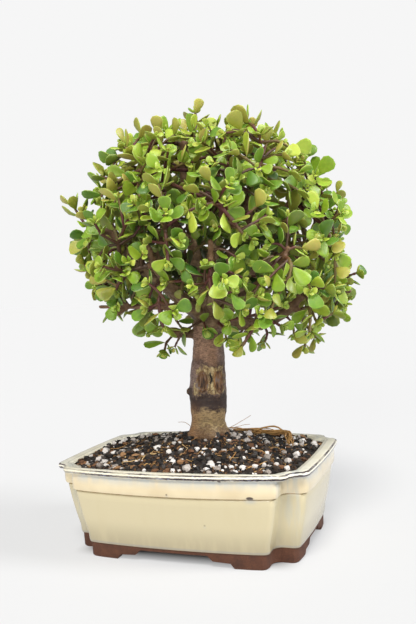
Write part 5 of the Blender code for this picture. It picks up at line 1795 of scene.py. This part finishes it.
def add_light():
    """Soft light from above, the right and the front, in a pale room."""
    for name, (strength, soft, turn, height, colour) in SUNS.items():
        light = bpy.data.lights.new(name, "SUN")
        light.energy, light.angle, light.color = strength, math.radians(soft), colour
        lamp = as_object(name, light)
        flat = math.cos(math.radians(height))
        turn = math.radians(turn)
        way = Vector((flat * math.cos(turn), flat * math.sin(turn), math.sin(math.radians(height))))
        lamp.rotation_euler = way.to_track_quat("Z", "Y").to_euler()
    world = bpy.data.worlds.new("pale_room")
    world.use_nodes = True
    tree = world.node_tree
    shown = tree.nodes["Background"]
    shown.inputs["Color"].default_value = (1.0, 1.0, 1.0, 1.0)
    shown.inputs["Strength"].default_value = BACKGROUND
    lit = tree.nodes.new("ShaderNodeBackground")
    lit.inputs["Strength"].default_value = SKY_STRENGTH
    lit.inputs["Color"].default_value = (1.0, 1.0, 1.0, 1.0)
    ray, mix = tree.nodes.new("ShaderNodeLightPath"), tree.nodes.new("ShaderNodeMixShader")
    tree.links.new(ray.outputs["Is Camera Ray"], mix.inputs[0])
    tree.links.new(lit.outputs[0], mix.inputs[1])
    tree.links.new(shown.outputs[0], mix.inputs[2])
    tree.links.new(mix.outputs[0], tree.nodes["World Output"].inputs[0])
    bpy.context.scene.world = world
    bpy.context.scene.view_settings.view_transform = "Standard"


def add_camera(middle):
    """The photograph's view of the pot and the tree."""
    yaw, pitch, roll = (math.radians(turn) for turn in (CAMERA_YAW, CAMERA_PITCH, CAMERA_ROLL))
    level_way = Vector((-math.sin(yaw), math.cos(yaw), 0.0))
    forward = level_way * math.cos(pitch) + Vector((0, 0, math.sin(pitch)))
    right = Vector((math.cos(yaw), math.sin(yaw), 0.0))
    up = right.cross(forward)
    x = right * math.cos(roll) + up * math.sin(roll)
    y = up * math.cos(roll) - right * math.sin(roll)
    data = bpy.data.cameras.new("photograph")
    data.lens, data.sensor_width = LENS, SENSOR
    data.clip_start, data.clip_end = 0.01, 200.0
    camera = as_object("photograph", data)
    turn = Matrix((x, y, -forward)).transposed().to_4x4()
    camera.matrix_world = Matrix.Translation(middle + CAMERA_AT * MM) @ turn
    bpy.context.scene.camera = camera


def add_pot(frame, place):
    """The glazed pot, and the finish of the drain screens."""
    pot = finished("glazed_pot", pot_shape(), place, [glaze(), clay()], POT_SHARP)
    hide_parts("pot")
    for name in ("drain_screen_left", "drain_screen_right"):
        for slot in frame["nodes"][name].material_slots:
            slot.material = screen_paint()


def add_soil(place):
    """The soil bed, the grains on it and the dry roots."""
    dice = random.Random(SOIL_SEED)
    soil = soil_shape()
    ground = BVHTree.FromBMesh(soil)
    fibres = fibre_shape(dice, ground)
    soil = finished("soil_bed", soil, place, [soil_paint()], SOIL_SHARP)
    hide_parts("soil")
    for name, settings, smooth in STREWN:
        grains = strewn(name, settings, dice, ground, place, lump_paint(name), smooth)
    roots = finished("dry_roots", fibres, place, [lump_paint("dry_root")], SOIL_SHARP)


def add_tree(place, solid_box):
    """The trunk with its limbs, the leafy sprays and the young shoots between them."""
    sprays = grow_crown()
    lines = wood_lines(sprays)
    bark_shape = wood_shape(lines, wood_samples(lines))
    wood = finished("trunk_and_limbs", bark_shape, place, [bark()], BARK_SHARP)
    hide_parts("trunk")

    skins = [leaf_skin(), twig_skin()]
    leaf, bud, young_leaf = (leaf_template(*cuts) for cuts in (LEAF_CUTS, BUD_CUTS, FILL_CUTS))
    for number, (_, _, twig) in enumerate(sprays, 1):
        shape = bmesh.new()
        marked(shape, LEAF_MARKS)
        dice = random.Random(number)
        lay_shoot(shape, (leaf, bud), twig, dice, dice.random())
        piece = finished(f"foliage_{number:02d}", shape, place, skins, LEAF_SHARP)
        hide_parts(f"spray_{number:02d}")

    groups = {}
    for shoot in fill_crown(sprays, place, solid_box):
        tip = shoot.frames[-1][0]
        turn = math.atan2(tip.y, tip.x) + math.pi
        groups.setdefault(int(turn / (2 * math.pi / FILL_GROUPS)) % FILL_GROUPS, []).append(shoot)
    dice = random.Random(FILL_SEED)
    for number, shoots in sorted(groups.items()):
        shape = bmesh.new()
        marked(shape, LEAF_MARKS)
        for shoot in shoots:
            lay_shoot(shape, (young_leaf, bud), shoot, dice, dice.random())
        piece = finished(f"young_shoots_{number}", shape, place, skins, LEAF_SHARP)


def main():
    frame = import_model()
    solid_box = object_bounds()
    low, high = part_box("pot")
    middle = Vector(((low.x + high.x) / 2, (low.y + high.y) / 2, 0.0))
    pot_place = Matrix.Translation(middle) @ Matrix.Scale(MM, 4)
    add_camera(middle)
    add_floor(middle)
    add_light()
    add_pot(frame, pot_place)
    add_soil(pot_place)
    add_tree(pot_place @ tree_place(), solid_box)


main()
